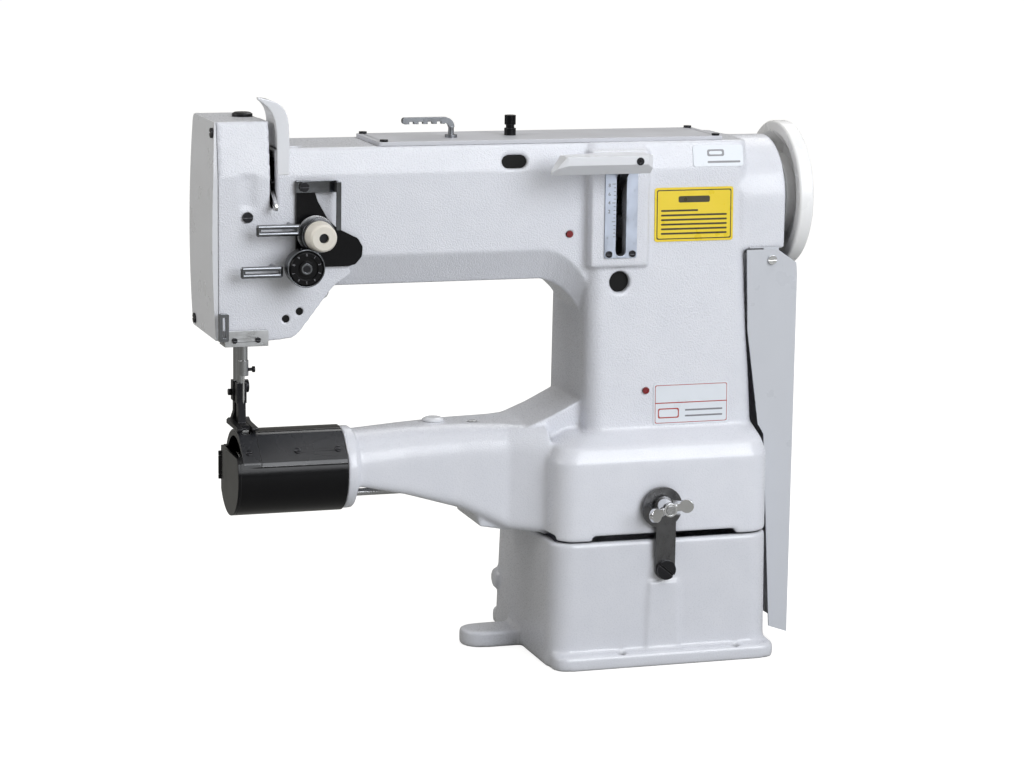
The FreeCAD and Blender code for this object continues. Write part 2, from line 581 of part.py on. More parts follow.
def horn_slab(outer, inner, y0, y1):
    """A slab between two smooth curves given from the foot up, drawn out from y0 to y1."""
    (foot_out, tip_out), (foot_in, tip_in) = [(V(line[0][0], y0, line[0][1]), V(line[-1][0], y0, line[-1][1]))
                                              for line in (outer, inner)]
    wire = Part.Wire([smooth_edge(outer, y0), Part.makeLine(tip_out, tip_in),
                      smooth_edge(inner, y0), Part.makeLine(foot_in, foot_out)])
    return Part.Face(wire).extrude(V(0, y1 - y0, 0))


HORN_OUTER = [(27.6, 396), (28.5, 420), (28.7, 448), (28.3, 463), (25.6, 476), (20.6, 482.2), (11, 486.2),
              (2, 488.6)]
HORN_FACE = [(19.4, 394), (18.2, 415), (18.2, 440), (18.0, 457), (16.2, 470), (12.6, 477.6), (7.6, 482.6),
             (1.6, 486.6)]
HORN_BACK_Y = -8.0


def take_up_guard():
    """A smooth horn that rises from the arm and curls over the travel of the take-up lever."""
    body = horn_slab(HORN_OUTER, HORN_FACE, -ARM_HALF, HORN_BACK_Y)
    lean_top = (ARM_TOP_Z + FIT - LEAN_Z) * LEAN
    arm_room = prism_x([(-ARM_HALF - 1, 380), (-ARM_HALF - 1, LEAN_Z), (-ARM_HALF - FIT, LEAN_Z),
                        (-ARM_HALF - FIT + lean_top, ARM_TOP_Z + FIT), (0, ARM_TOP_Z + FIT), (0, 380)], 0, 40)
    taper = prism_z([(18.4, HORN_BACK_Y), (1.5, -ARM_HALF + 3), (-5, -ARM_HALF + 3), (-5, HORN_BACK_Y + 1),
                     (18.4, HORN_BACK_Y + 1)], 466, 495)
    return cut(body, arm_room, taper)


def head_bracket():
    """A bright angle plate under the front of the head, with the bars passing behind it."""
    upright = box(-27, 9.5, -50.5, -45.2, 286, 297.5)
    lip = box(-27, 9.5, -50.5, -30, 284.2, 286.6)
    return cut(fuse(upright, lip), *[rod_y(-60, -40, x, BRACKET_Z, 1.5) for x in (-19.0, 0.7)])


def hairpin(x0, x1, z):
    """A bright wire staple that stands out from the head and runs level."""
    r, half, y = 2.0, 2.9, -60.0
    leg = rod_y(y, -ARM_HALF - 0.02, x1 - 4, z + half, r - 0.1)
    wires = [rod_x(x0, x1, y, height, r) for height in (z - half, z + half)]
    ends = [rod_z(z - half, z + half, x, y, r) for x in (x0, x1)]
    knees = [Part.makeSphere(r + 0.05, V(x, y, height)) for x in (x0, x1) for height in (z - half, z + half)]
    return fuse(*wires, *ends, *knees, leg)


def thread_guides():
    """Two hairpins and a low wire loop on the front of the head."""
    loop = cut(box(-33, -25, -57, -53, 290, 313), box(-30.2, -27.6, -58, -52, 293, 310))
    loop = loop.makeFillet(1.4, along(loop, "y", lambda p: p.z < 291 or p.z > 312))
    stem = box(-29.4, -27.6, -53.5, -ARM_HALF - 0.02, 310.4, 312)
    return group(hairpin(-1, 32, 381), hairpin(-14, 17.4, 347), fuse(loop, stem))


def tension_plate():
    """A black bell-crank plate that carries the thread tension."""
    outline = [(33.5, 420), (45.5, 420), (52, 402), (60, 388), (68, 380), (76, 376), (86, 371), (90, 364),
               (89.5, 356), (84, 349.5), (78, 348), (54, 348), (33.5, 356)]
    plate = prism_y(outline, -48.0, -ARM_HALF - 0.05)
    plate = plate.makeFillet(5, along(plate, "y", lambda p: p.x > 83))
    return cut(plate, rod_y(-60, -40, 48.3, 376.4, 4), rod_y(-60, -40, 39.6, 415, 1.5),
               rod_y(-60, -40, 35.5, 351, 11))


def guide_strip():
    """A steel strip screwed to the plate, bent down at its right end."""
    top = box(33, 68, -49.8, -48.1, 410, 420)
    leg = box(64, 68, -62, -60, 380, 420)
    return cut(fuse(top, box(66, 68, -62, -48.1, 410, 420), leg), rod_y(-70, -40, 39.6, 415, 1.5))


TENSION_X = 48.3
TENSION_Z = 376.4


def tension_studs():
    return group(tension_stud(), dial_stud())


def tension_stud():
    return fuse(rod_y(-80, -38, TENSION_X, TENSION_Z, 4), rod_y(-51.5, -48.1, TENSION_X, TENSION_Z, 8))


def tension_discs():
    """Two dished discs that grip the thread, and the coil that presses on them."""
    discs = [tube_y(-67.5, -57.0, TENSION_X, TENSION_Z, 9.4, 7.0)]
    for y in (-56.4, -54.0):
        discs.append(cut(cone_y(y, y + 1.6, TENSION_X, TENSION_Z, 15.5, 13.0),
                         rod_y(y - 1, y + 3, TENSION_X, TENSION_Z, 4.1)))
    return group(*discs)


def tension_knob():
    """An ivory knob: grooved barrel, stepped nose, screwed onto the stud."""
    barrel = cone_y(-81, -68, TENSION_X, TENSION_Z, 11.2, 12.6)
    nose = cone_y(-83, -81, TENSION_X, TENSION_Z, 9.6, 11.2)
    body = fuse(barrel, nose)
    groove_r = 13.2
    grooves = [rod_y(-84, -71, TENSION_X + groove_r * cos(i * pi / 9), TENSION_Z + groove_r * sin(i * pi / 9),
                     1.2) for i in range(18)]
    return cut(body, rod_y(-90, -60, TENSION_X, TENSION_Z, 4 + FIT), *grooves)


DIAL_X = 35.5
DIAL_Z = 351.0


def dial_stud():
    return fuse(rod_y(-76.5, -38, DIAL_X, DIAL_Z, 3), rod_y(-60.5, -ARM_HALF - 0.05, DIAL_X, DIAL_Z, 9))


def lower_dial():
    disc = fuse(rod_y(-73, -61, DIAL_X, DIAL_Z, 15.3), cone_y(-76, -73, DIAL_X, DIAL_Z, 13.2, 15.3))
    recess = tube_y(-77, -74.4, DIAL_X, DIAL_Z, 9.6, 6.2)
    return cut(disc, recess, rod_y(-90, -50, DIAL_X, DIAL_Z, 3 + FIT))


# Stitch length regulator

def scale_plate():
    y0, y1 = FRONT_Y - 1.2, FRONT_Y - 0.05
    plate = box(SCALE_X0, SCALE_X1, y0, y1, 349, 424)
    plate = plate.makeFillet(2, along(plate, "y"))
    slot = upright_slot_y(y0 - 1, y1 + 1, LEVER_X, 355, 418, 4.6)
    return cut(plate, slot, *[rod_y(-70, -40, x, 352.6, 1.5) for x in (302.5, 323.5)])


LEVER_REST = radians(38.0)     # the lever stands at the top of its slot


def stitch_lever():
    """A shank through the slot and a handle that reaches left along the front of the arm."""
    shank = box(LEVER_X - 3, LEVER_X + 3, -104, 6, LEVER_PIVOT_Z - 2.5, LEVER_PIVOT_Z + 2.5)
    hub = rod_x(LEVER_X - 7, LEVER_X + 7, 0, LEVER_PIVOT_Z, 9)
    shank.rotate(V(LEVER_X, 0, LEVER_PIVOT_Z), V(1, 0, 0), -degrees(LEVER_REST))
    slab = prism_z([(241, -92), (252, -97), (322, -97), (328, -92), (328, -70), (320, -66), (300, -66),
                    (250, -78), (241, -84)], 424, 440)
    lean = prism_x([(-99, 434.5), (-99, 441), (-64, 441), (-64, 434), (-74, 424), (-86, 424)], 240, 330)
    handle = cut(slab.common(lean), prism_y([(240, 426), (240, 441), (252, 441)], -100, -60))
    body = fuse(hub, shank, handle)
    return cut(body, rod_x(LEVER_X - 9, LEVER_X + 9, 0, LEVER_PIVOT_Z, 5 + FIT))


# Plugs, caps and plates on the castings

def casting_plugs():
    """Black plugs in the arm and the chin, and the white plug and slotted screw on the cylinder arm."""
    oblong = slot_y(-41.0, -37.5, 217, 228, 431, 5.5)
    round_plug = rod_y(-47.5, -43.5, 315, 327.6, 9.0)
    chin_plugs = [rod_y(-ARM_HALF + 0.5, -ARM_HALF + 4, x, z, CHIN_HOLE_R - FIT) for x, z in CHIN_HOLES]
    return group(oblong, round_plug, *chin_plugs, *arm_plug())


def oil_caps():
    """Dark red push-in caps over the oil holes."""
    caps = []
    for x, z in OIL_HOLES:
        caps.append(fuse(rod_y(-ARM_HALF - 1.2, -ARM_HALF - 0.02, x, z, 2.9),
                         rod_y(-ARM_HALF - 0.1, -40, x, z, 2.0)))
    x, z = LOW_OIL
    caps.append(rod_y(-column_half(z) - 2, -column_half(z) - 0.12, x, z, 2.9))
    return group(*caps)


LOW_OIL = (338.9, 233.8)


def arm_plug():
    dome = fuse(rod_z(204.8, 206.4, 166, 0, 9.4), rod_z(194, 205, 166, 0, 5.9),
                Part.makeCone(9.4, 6.5, 1.6, V(166, 0, 206.4)))
    screw = cut(rod_z(196, 204.6, 199, -8, 4.3), box(194, 204, -8.6, -7.4, 203.2, 205))
    return dome, screw


def column_half(z):
    """Half depth of the column at a height, between the sections that it is lofted through."""
    for (z0, half0), (z1, half1) in zip(COLUMN_HALVES, COLUMN_HALVES[1:]):
        if z0 <= z <= z1:
            return half0 + (half1 - half0) * (z - z0) / (z1 - z0)


def front_label(x0, x1, z0, z1):
    """A thin plate that lies on the leaning front of the column."""
    y0, y1 = -column_half(z0) - 0.02, -column_half(z1) - 0.02
    return prism_x([(y0, z0), (y1, z1), (y1 - LABEL_T, z1), (y0 - LABEL_T, z0)], x0, x1)


def label_plates():
    """Rating plate, yellow plate and small white plate."""
    return group(front_label(346, 415, 203, 239), front_label(345.5, 417, 361, 407),
                 front_label(380.5, 426, 424.2, 442))


# Main drive

def main_shaft():
    """The shaft, with the round nut that clamps the handwheel."""
    nut = fuse(rod_x(WHEEL_X1 + 0.02, WHEEL_X1 + 2, 0, SHAFT_Z, 13),
               rod_x(WHEEL_X1 + 2, WHEEL_X1 + 6, 0, SHAFT_Z, 11))
    slot = box(WHEEL_X1 + 4.5, WHEEL_X1 + 7, -12, 12, SHAFT_Z - 1.2, SHAFT_Z + 1.2)
    return cut(fuse(rod_x(26, 491, 0, SHAFT_Z, SHAFT_R), nut), slot)


def shaft_bearings():
    """Bushes for both shafts and the ball bearing behind the handwheel."""
    return group(front_bush(), rear_bearing(), *lower_bushes())


def front_bush():
    return tube_x(BUSH_X0, BUSH_X1, 0, SHAFT_Z, 11, SHAFT_R + FIT)


def rear_bearing():
    return tube_x(446, 458, 0, SHAFT_Z, 21, SHAFT_R + FIT)


def crank():
    """A counterweighted disc with its pin, on the left end of the main shaft."""
    disc = cut(rod_x(19, 26, 0, SHAFT_Z, 26), box(18, 27, -30, 30, SHAFT_Z + 8, SHAFT_Z + 40))
    pin_boss = fuse(rod_x(19, 26, 0, SHAFT_Z + STROKE / 2, 7),
                    box(19, 26, -7, 7, SHAFT_Z, SHAFT_Z + STROKE / 2))
    hub = rod_x(19, 33, 0, SHAFT_Z, 12)
    pin = rod_x(7, 19, 0, SHAFT_Z + STROKE / 2, 3.5)
    return cut(fuse(disc, pin_boss, hub, pin), rod_x(26, 40, 0, SHAFT_Z, SHAFT_R))


def needle_bar_link():
    """The link that hangs from the crank pin."""
    x0, x1 = 8, 11.5
    top = SHAFT_Z + STROKE / 2
    body = fuse(rod_x(x0, x1, 0, top, 6.5), rod_x(x0, x1, 0, top - 46, 6),
                box(x0, x1, -3.2, 3.2, top - 44, top - 3))
    return cut(body, rod_x(x0 - 1, x1 + 1, 0, top, 3.5 + FIT), rod_x(x0 - 1, x1 + 1, 0, top - 46, 3))


TAKE_UP_Y = -4.0
TAKE_UP_Z = 429.0


def take_up_lever():
    """A flat lever whose thread eye stands out of the slot in front."""
    x0, x1 = SLOT_X - 1.3, SLOT_X + 1.3
    eye_y, eye_z = -54.0, 399.5
    hub = rod_x(x0, x1, TAKE_UP_Y, TAKE_UP_Z, 6)
    blade = prism_x([(TAKE_UP_Y, TAKE_UP_Z + 5.5), (TAKE_UP_Y - 3, TAKE_UP_Z - 5), (eye_y + 2, eye_z - 3.4),
                     (eye_y - 1, eye_z + 3.4)], x0, x1)
    eye = rod_x(x0, x1, eye_y, eye_z, 3.6)
    return cut(fuse(hub, blade, eye), rod_x(x0 - 1, x1 + 1, eye_y, eye_z, 1.4),
               rod_x(x0 - 1, x1 + 1, TAKE_UP_Y, TAKE_UP_Z, 3 + FIT))


def pivot_pins():
    """Pins of the take-up lever, the needle bar frame, the stitch lever and the bobbin door."""
    return group(rod_x(SLOT_X - 1.5, 50, TAKE_UP_Y, TAKE_UP_Z, 3),
                 rod_x(-16, PIN_X1, PILLAR_Y, PIVOT_Z, 3.5),
                 rod_x(LEVER_X - 14, LEVER_X + 14, 0, LEVER_PIVOT_Z, 5),
                 rod_z(CYL_Z - 8.4, CYL_Z + 8.4, DOOR_X0, DOOR_HINGE_Y, 0.8))


PULLEY_X0 = 390.0
PULLEY_X1 = 406.0
PULLEY_R = 20.0


def pulley(z, bore):
    rim = gear_x(PULLEY_X0 + 2, PULLEY_X1 - 2, 0, z, PULLEY_R, 20, 1.6)
    flanges = [rod_x(x, x + 2, 0, z, PULLEY_R + 3) for x in (PULLEY_X0, PULLEY_X1 - 2)]
    return cut(fuse(rim, *flanges), rod_x(PULLEY_X0 - 1, PULLEY_X1 + 1, 0, z, bore))


def upper_pulley():
    return pulley(SHAFT_Z, SHAFT_R)


def lower_pulley():
    return pulley(LOWER_Z, LOWER_R)


def timing_belt():
    """A closed band round both pulleys, seated just clear of their teeth."""
    inner, outer = PULLEY_R + 0.4, PULLEY_R + 2.6
    x0, x1 = PULLEY_X0 + 2.6, PULLEY_X1 - 2.6

    def loop(r, a, b):
        return fuse(rod_x(a, b, 0, SHAFT_Z, r), rod_x(a, b, 0, LOWER_Z, r),
                    box(a, b, -r, r, LOWER_Z, SHAFT_Z))

    return cut(loop(outer, x0, x1), loop(inner, x0 - 1, x1 + 1))


def handwheel():
    """A white wheel with a dished inner face, a belt groove beside it and a hub."""
    rim = rod_x(WHEEL_X0, WHEEL_X1, 0, SHAFT_Z, WHEEL_R)
    rim = rim.makeFillet(2.4, [e for e in rim.Edges if e.Curve.TypeId == "Part::GeomCircle"])
    dish = cone_x(WHEEL_X0 - 1, WHEEL_X0 + 7, 0, SHAFT_Z, 56, 44)
    back = cone_x(WHEEL_X1 - 6, WHEEL_X1 + 1, 0, SHAFT_Z, 44, 54)
    groove = cut(rod_x(467, WHEEL_X0 + 8, 0, SHAFT_Z, 36), tube_x(469, 473, 0, SHAFT_Z, 40, 31))
    hub = rod_x(467, WHEEL_X1, 0, SHAFT_Z, 17)
    return cut(fuse(cut(rim, dish, back), groove, hub), rod_x(460, 495, 0, SHAFT_Z, SHAFT_R))


def lower_shaft():
    return rod_x(58, 418, 0, LOWER_Z, LOWER_R)


def lower_bushes():
    front = tube_x(84, 104, 0, LOWER_Z, 9, LOWER_R + FIT)
    rear = tube_x(408, 416, 0, LOWER_Z, 9, LOWER_R + FIT)
    return front, rear


GEAR_X0 = 60.0
GEAR_X1 = 68.0


def drive_gear():
    wheel = gear_x(GEAR_X0, GEAR_X1, 0, LOWER_Z, 10.7, 24, 1.9)
    return cut(wheel, rod_x(50, 80, 0, LOWER_Z, LOWER_R))


def hook_pinion():
    """Half the teeth of the drive gear, cut on the hook shaft."""
    wheel = gear_x(GEAR_X0, GEAR_X1, 0, CYL_Z, 5.3, 12, 1.7)
    wheel.rotate(V(0, 0, CYL_Z), V(1, 0, 0), 15)
    return wheel


def rotating_hook():
    """A cup with a hook point in its rim, on the hook shaft."""
    cup = fuse(rod_x(1.5, 20, 0, CYL_Z, HOOK_R), cone_x(20, 25, 0, CYL_Z, HOOK_R, 9))
    room = rod_x(0, 17, 0, CYL_Z, HOOK_R - 3)
    window = box(0, 12, -8, 40, CYL_Z + 10, CYL_Z + 40)
    shaft = fuse(rod_x(17, 56, 0, CYL_Z, 5), rod_x(50, 72, 0, CYL_Z, 2.6), hook_pinion())
    return fuse(cut(cup, room, window), shaft)


def bobbin_case():
    """A drum that stands still inside the hook and holds the bobbin from the open end."""
    drum = rod_x(-6, 15, 0, CYL_Z, 17)
    room = rod_x(-7, 13, 0, CYL_Z, 13.2)
    arm = box(-5, 0, -4, 4, CYL_Z - 30.6, CYL_Z - 16)
    post = rod_x(-5.5, 13, 0, CYL_Z, 2.4)
    return fuse(cut(drum, room), arm, post)


def bobbin():
    flanges = [rod_x(x, x + 1.4, 0, CYL_Z, 12.6) for x in (-5, 11)]
    return cut(fuse(rod_x(-4, 12, 0, CYL_Z, 10), *flanges), rod_x(-8, 15, 0, CYL_Z, 2.4 + FIT))


def hook_saddle():
    """The bracket that carries the hook shaft, screwed to the end ring of the arm."""
    boss = tube_x(35, 54, 0, CYL_Z, 10, 5 + FIT)
    leg = cut(box(35, 54, -26, 26, CYL_Z - 14, CYL_Z - 4), rod_x(30, 60, 0, CYL_Z, 9))
    rails = [box(54, RING_X0, y0, y0 + 7, CYL_Z - 14, CYL_Z - 4) for y0 in (-26, 19)]
    return fuse(boss, leg, *rails)


# Cylinder cap and its plates. The front of the cylinder is flattened by a chord.

CHORD_TILT = radians(44.6)  # the chord's outward normal leans this far to the front
CHORD_Y = -sin(CHORD_TILT)
CHORD_Z = cos(CHORD_TILT)
CHORD_OUT = 33.8            # outer faces of the plates, from the axis
CHORD_IN = 31.9             # seat of the plates
CAP_X0 = -10.2
DOOR_X0 = -12.8
PLATE_SPLIT_X = 7.7
CAP_ROOM_R = 31.0


def chord_slab(x0, x1, near, far):
    """The space between two planes that run along X at the chord's tilt."""
    slab = Part.makeBox(x1 - x0, 120, far - near, V(x0, -60, near))
    slab.rotate(V(0, 0, 0), V(1, 0, 0), degrees(CHORD_TILT))
    slab.translate(V(0, 0, CYL_Z))
    return slab


def chorded_rod(x0, x1, r, chord):
    return cut(rod_x(x0, x1, 0, CYL_Z, r), chord_slab(x0 - 1, x1 + 1, chord, 80))


def chord_point(x, along_chord, out):
    """A point over the chord: along it towards the front, and out from the axis."""
    return V(x, out * CHORD_Y - along_chord * CHORD_Z, CYL_Z + out * CHORD_Z + along_chord * CHORD_Y)


def throat_band():
    """The shell over the needle, from the low edge of the chord to the back of the plate."""
    band = cut(chorded_rod(THROAT_X0, PLATE_SPLIT_X, CYL_R, CHORD_OUT),
               chorded_rod(CAP_X0 - 1, PLATE_SPLIT_X + 1, CYL_R - 2, CHORD_IN))
    return band.common(box(CAP_X0 - 1, PLATE_SPLIT_X + 1, -60, 19, CYL_Z + 12.5, THROAT_Z + 2))


def cylinder_cap():
    shell = chorded_rod(CAP_X0, CAP_X1, CYL_R, CHORD_OUT)
    room = rod_x(CAP_X0 - 1, CAP_X1 + 1, 0, CYL_Z, CAP_ROOM_R)
    cover_seat = chord_slab(PLATE_SPLIT_X, CAP_X1 + 1, CHORD_IN, 60)
    feed_slot = box(-3.6, 3.6, -12, 12, CYL_Z + 20, THROAT_Z + 5)
    screws = [screw_along_chord(x, 2.0, 12) for x in PLATE_SCREWS]
    lugs = [rod_z(z0, z0 + EYE_H, DOOR_X0, DOOR_HINGE_Y, EYE_R) for z0 in DOOR_EYES]
    feet = [box(DOOR_X0, CAP_X0 + 4, DOOR_HINGE_Y - 1.1, DOOR_HINGE_Y + 1.2, z0, z0 + EYE_H)
            for z0 in DOOR_EYES]
    step = box(CAP_X0 - 1, THROAT_X0, -CYL_R - 1, CYL_R + 1, DOOR_TOP_Z + 0.3, THROAT_Z + 1)
    body = cut(shell, room, cover_seat, throat_band(), feed_slot, step, *screws)
    return fuse(body, *lugs, *feet)


PLATE_SCREWS = (-1.5, 40.0, 75.0)
DOOR_TOP_Z = CYL_Z + 17.8   # the end cover stops level here
THROAT_X0 = -7.6           # above the end cover the shell starts further in
DOOR_HINGE_Y = 33.0        # upright hinge at the back of the end cover
DOOR_EYES = (CYL_Z - 12.0, CYL_Z + 8.5)
EYE_H = 3.5
EYE_R = 1.8


def screw_along_chord(x, r, depth):
    foot = chord_point(x, 4.0, CHORD_OUT - depth)
    return Part.makeCylinder(r, depth + 5, foot, V(0, CHORD_Y, CHORD_Z))


def plate_screws():
    """Slotted screws that hold the throat plate and the cover plate."""
    screws = []
    for x in PLATE_SCREWS:
        head = Part.makeCylinder(2.7, 0.9, chord_point(x, 4.0, CHORD_OUT), V(0, CHORD_Y, CHORD_Z))
        shank = Part.makeCylinder(1.4, CHORD_OUT - CAP_ROOM_R, chord_point(x, 4.0, CAP_ROOM_R),
                                  V(0, CHORD_Y, CHORD_Z))
        slot = Part.makeBox(6, 0.8, 1.2, V(x - 3, -4.4, CHORD_OUT + 0.4))
        slot.rotate(V(0, 0, 0), V(1, 0, 0), degrees(CHORD_TILT))
        slot.translate(V(0, 0, CYL_Z))
        screws.append(cut(fuse(head, shank), slot))
    return screws


def throat_plate():
    slot = box(-3.5, 3.5, -12, 12, THROAT_Z - 8, THROAT_Z + 5)
    return cut(throat_band(), slot, screw_along_chord(PLATE_SCREWS[0], 1.5, 8))


def cover_plate():
    slab = chord_slab(PLATE_SPLIT_X + 0.2, CAP_X1, CHORD_IN, CHORD_OUT)
    plate = slab.common(rod_x(0, 100, 0, CYL_Z, CYL_R - 0.1))
    return cut(plate, *[screw_along_chord(x, 1.5, 8) for x in PLATE_SCREWS[1:]])


def bobbin_door():
    """The end cover: it swings open to the left about an upright pin at the back."""
    disc = chorded_rod(DOOR_X0, CAP_X0 - 0.1, CYL_R, CHORD_OUT)
    disc = disc.common(box(DOOR_X0, CAP_X0, -CYL_R - 1, DOOR_HINGE_Y - 2.4, 100, DOOR_TOP_Z))
    knuckle = fuse(rod_z(CYL_Z - 8, CYL_Z + 8, DOOR_X0, DOOR_HINGE_Y, EYE_R),
                   box(DOOR_X0, CAP_X0 - 0.5, DOOR_HINGE_Y - 4, DOOR_HINGE_Y, CYL_Z - 8, CYL_Z + 8))
    return cut(fuse(disc, knuckle), rod_z(CYL_Z - 9, CYL_Z + 9, DOOR_X0, DOOR_HINGE_Y, 0.8 + FIT))


# Feed

FEED_Z = 145.5
FEED_R = 3.2


def feed_dog():
    """The toothed pad in the throat plate, on a bar that turns down beside the hook."""
    pad = box(-2.9, 2.9, -7, 7, 192.5, THROAT_Z + 0.5)
    teeth = [box(-3, 3, -7 + 2 * i + 1.1, -7 + 2 * i + 2, THROAT_Z - 0.1, THROAT_Z + 1) for i in range(7)]
    bar = box(-2.9, 30, -4, 4, 192.5, 196)
    leg = prism_x([(4, 196), (-4, 196), (-12, 188), (-17, 180), (-17, 165), (-11, 165), (-11, 178), (-2, 190),
                   (4, 190)], 29, 34)
    return cut(fuse(pad, bar, leg), rod_z(180, 210, 0, 0, 1.5), *teeth)


def feed_rock_shaft():
    """The bright rod under the cylinder arm, with the lever that rocks the feed bar."""
    lever = prism_x([(4, 142), (4, 149), (-8, 159), (-13, 157), (-15, 153), (-4, 141)], 27.5, 33.5)
    hub = rod_x(26.5, 34.5, 0, FEED_Z, 7)
    return fuse(rod_x(24, 240, 0, FEED_Z, FEED_R), hub, lever)


# Needle, feet and their bars

def needle_frame():
    """The swinging frame that guides the needle bar and the inner foot bar."""
    plate = box(-12, -7.5, -6, 15, 304, 438)
    blocks = [fuse(rod_z(z0, z1, 0, 0, 6.4), box(-12, 0, -6, 6, z0, z1), box(-12, 5, 4, 15, z0, z1))
              for z0, z1 in ((304, 318), (404, 420))]
    eye = fuse(rod_x(-12, 1.4, PILLAR_Y, PIVOT_Z, 7), box(-12, -7.5, 6, 16, 425, 440))
    body = fuse(plate, *blocks, eye)
    return cut(body, rod_x(-13, 2, PILLAR_Y, PIVOT_Z, 3.5 + FIT), rod_z(300, 425, 0, 0, NEEDLE_BAR_R + FIT),
               rod_z(300, 425, 0, INNER_Y, INNER_R + FIT))


CLAMP_Z0 = 251.0           # foot of the needle clamp
CLAMP_SCREW_Z = 256.0
FOOT_CLAMP_Z0 = 226.0      # both feet are clamped to their bars between these heights
FOOT_CLAMP_Z1 = 243.0
KNOB_Z = 237.5
SET_SCREW_Z = 232.8
SET_SCREW_Y = 24.3


def needle_bar():
    """The bar, the stud block of its link and the needle clamp at its foot."""
    bar = rod_z(CLAMP_Z0 + 2, 457, 0, 0, NEEDLE_BAR_R)
    block = rod_z(358, 372, 0, 0, 6.4)
    clamp = rod_z(CLAMP_Z0, CLAMP_Z0 + 13, 0, 0, 4.2)
    return cut(fuse(bar, block, clamp), rod_z(CLAMP_Z0 - 2, CLAMP_Z0 + 10, 0, 0, 1.0),
               rod_x(0, 6, 0, CLAMP_SCREW_Z, 1.4))


def needle_screw():
    """The thumb screw that holds the needle."""
    return fuse(rod_x(1.05, 8, 0, CLAMP_SCREW_Z, 1.4), rod_x(7.6, 9.6, 0, CLAMP_SCREW_Z, 2.6))


def needle():
    shank = rod_z(246, CLAMP_Z0 + 10, 0, 0, 1.0)
    point = Part.makeCone(0.2, 0.7, 3, V(0, 0, 227))
    return fuse(shank, rod_z(230, 246, 0, 0, 0.7), point)


def inner_foot_bar():
    return rod_z(FOOT_CLAMP_Z0 + 8, 422, 0, INNER_Y, INNER_R)


def inner_foot():
    block = box(-4.2, 4.2, 6.5, 14.2, FOOT_CLAMP_Z0, FOOT_CLAMP_Z1)
    riser = prism_x([(6.5, 227), (14.2, 227), (12, 212), (8, 206), (-9, 206), (-9, 207.5), (-7, 209.5),
                     (5.2, 209.5)], -3.3, 3.3)
    return cut(fuse(block, riser), rod_z(FOOT_CLAMP_Z0 + 8, 260, 0, INNER_Y, INNER_R),
               rod_z(200, 215, 0, 0, 1.7))


def presser_bar():
    collar = rod_z(318, 327, 0, PRESSER_Y, 5.4)
    return fuse(rod_z(FOOT_CLAMP_Z0 + 4, 423, 0, PRESSER_Y, PRESSER_R), collar)


def presser_spring():
    """The coil spring around the presser bar, as the tube that it fills."""
    return rod_z(337, 405, 0, PRESSER_Y, 6.2).cut(rod_z(330, 410, 0, PRESSER_Y, 4.2))


def presser_foot():
    """Black foot: a clamp on the bar, a narrow shank that flares, and two toes beside the inner foot."""
    block = box(-4.6, 4.6, 19.6, 28.4, FOOT_CLAMP_Z0, FOOT_CLAMP_Z1)
    shank = prism_y([(-3.6, FOOT_CLAMP_Z0 + 1), (3.6, FOOT_CLAMP_Z0 + 1), (3.6, 217), (5.5, 211), (9, 208),
                     (9, 206), (-9, 206), (-9, 208), (-5.5, 211), (-3.6, 217)], 19.6, 26)
    toes = [prism_x([(26, 206), (26, 209), (19, 212), (12, 209.5), (-14, 209), (-17, 208.3), (-17, 207),
                     (-14, 206)], x0, x0 + 4.8) for x0 in (-9, 4.2)]
    body = fuse(block, shank, *toes)
    return cut(body, rod_z(FOOT_CLAMP_Z0 + 4, 270, 0, PRESSER_Y, PRESSER_R),
               rod_x(0, 10, SET_SCREW_Y, KNOB_Z, 1.6), rod_x(-10, 0, SET_SCREW_Y, SET_SCREW_Z, 1.6))


def foot_screws():
    """The knurled screw on the right of the foot's clamp and the small one on its left."""
    right = fuse(rod_x(4.65, 9.4, SET_SCREW_Y, KNOB_Z, 5.6), rod_x(3.9, 4.7, SET_SCREW_Y, KNOB_Z, 1.6))
    left = fuse(rod_x(-7.8, -4.65, SET_SCREW_Y, SET_SCREW_Z, 2.8),
                rod_x(-4.7, -3.9, SET_SCREW_Y, SET_SCREW_Z, 1.6))
    return group(right, left)


def pressure_regulator():
    x, y = 2, 12
    dome = fuse(rod_z(466.6, 470, x, y, 8.6), Part.makeCone(8.6, 6.6, 1.2, V(x, y, 470)))
    slot = box(x - 11, x + 11, y - 0.8, y + 0.8, 470, 472)
    return cut(fuse(dome, rod_z(450, 466.6, x, y, 5)), slot)


LIFTER_X = 40.0
LIFTER_Z = 330.0


def foot_lifter_lever():
    """The hand lever behind the head that lifts both feet."""
    shaft = fuse(rod_y(30, 56, LIFTER_X, LIFTER_Z, 4), rod_y(50, 56, LIFTER_X, LIFTER_Z, 8))
    handle = prism_y([(40, 338), (44, 322), (78, 306), (84, 310), (82, 318)], 51, 55)
    knob = rod_y(50, 60, 80, 312, 6.5)
    return fuse(shaft, handle, knob)


# Belt guard

GUARD_HALF = 54.4
GUARD_T = 1.5
GUARD_LOW_Z = 11.0


def guard_channel():
    """A sheet steel channel around the drive belt, below the handwheel."""
    side = [(430, 352), (458, 352), (476, 340), (477, 330), (477, GUARD_LOW_Z), (460, 17), (450, 190),
            (444.5, 199), (432.5, 282)]
    front = prism_y(side, -GUARD_HALF, -GUARD_HALF + GUARD_T)
    back = prism_y(side, GUARD_HALF - GUARD_T, GUARD_HALF)
    wall = box(477 - GUARD_T, 477, -GUARD_HALF, GUARD_HALF, 17, 324)
    cheeks = [box(477 - GUARD_T, 477, y0, y0 + 12, 320, 330) for y0 in (-GUARD_HALF, GUARD_HALF - 12)]
    body = fuse(front, back, wall, *cheeks)
    return cut(body, rod_y(-70, -40, 453, 343, 2.2))


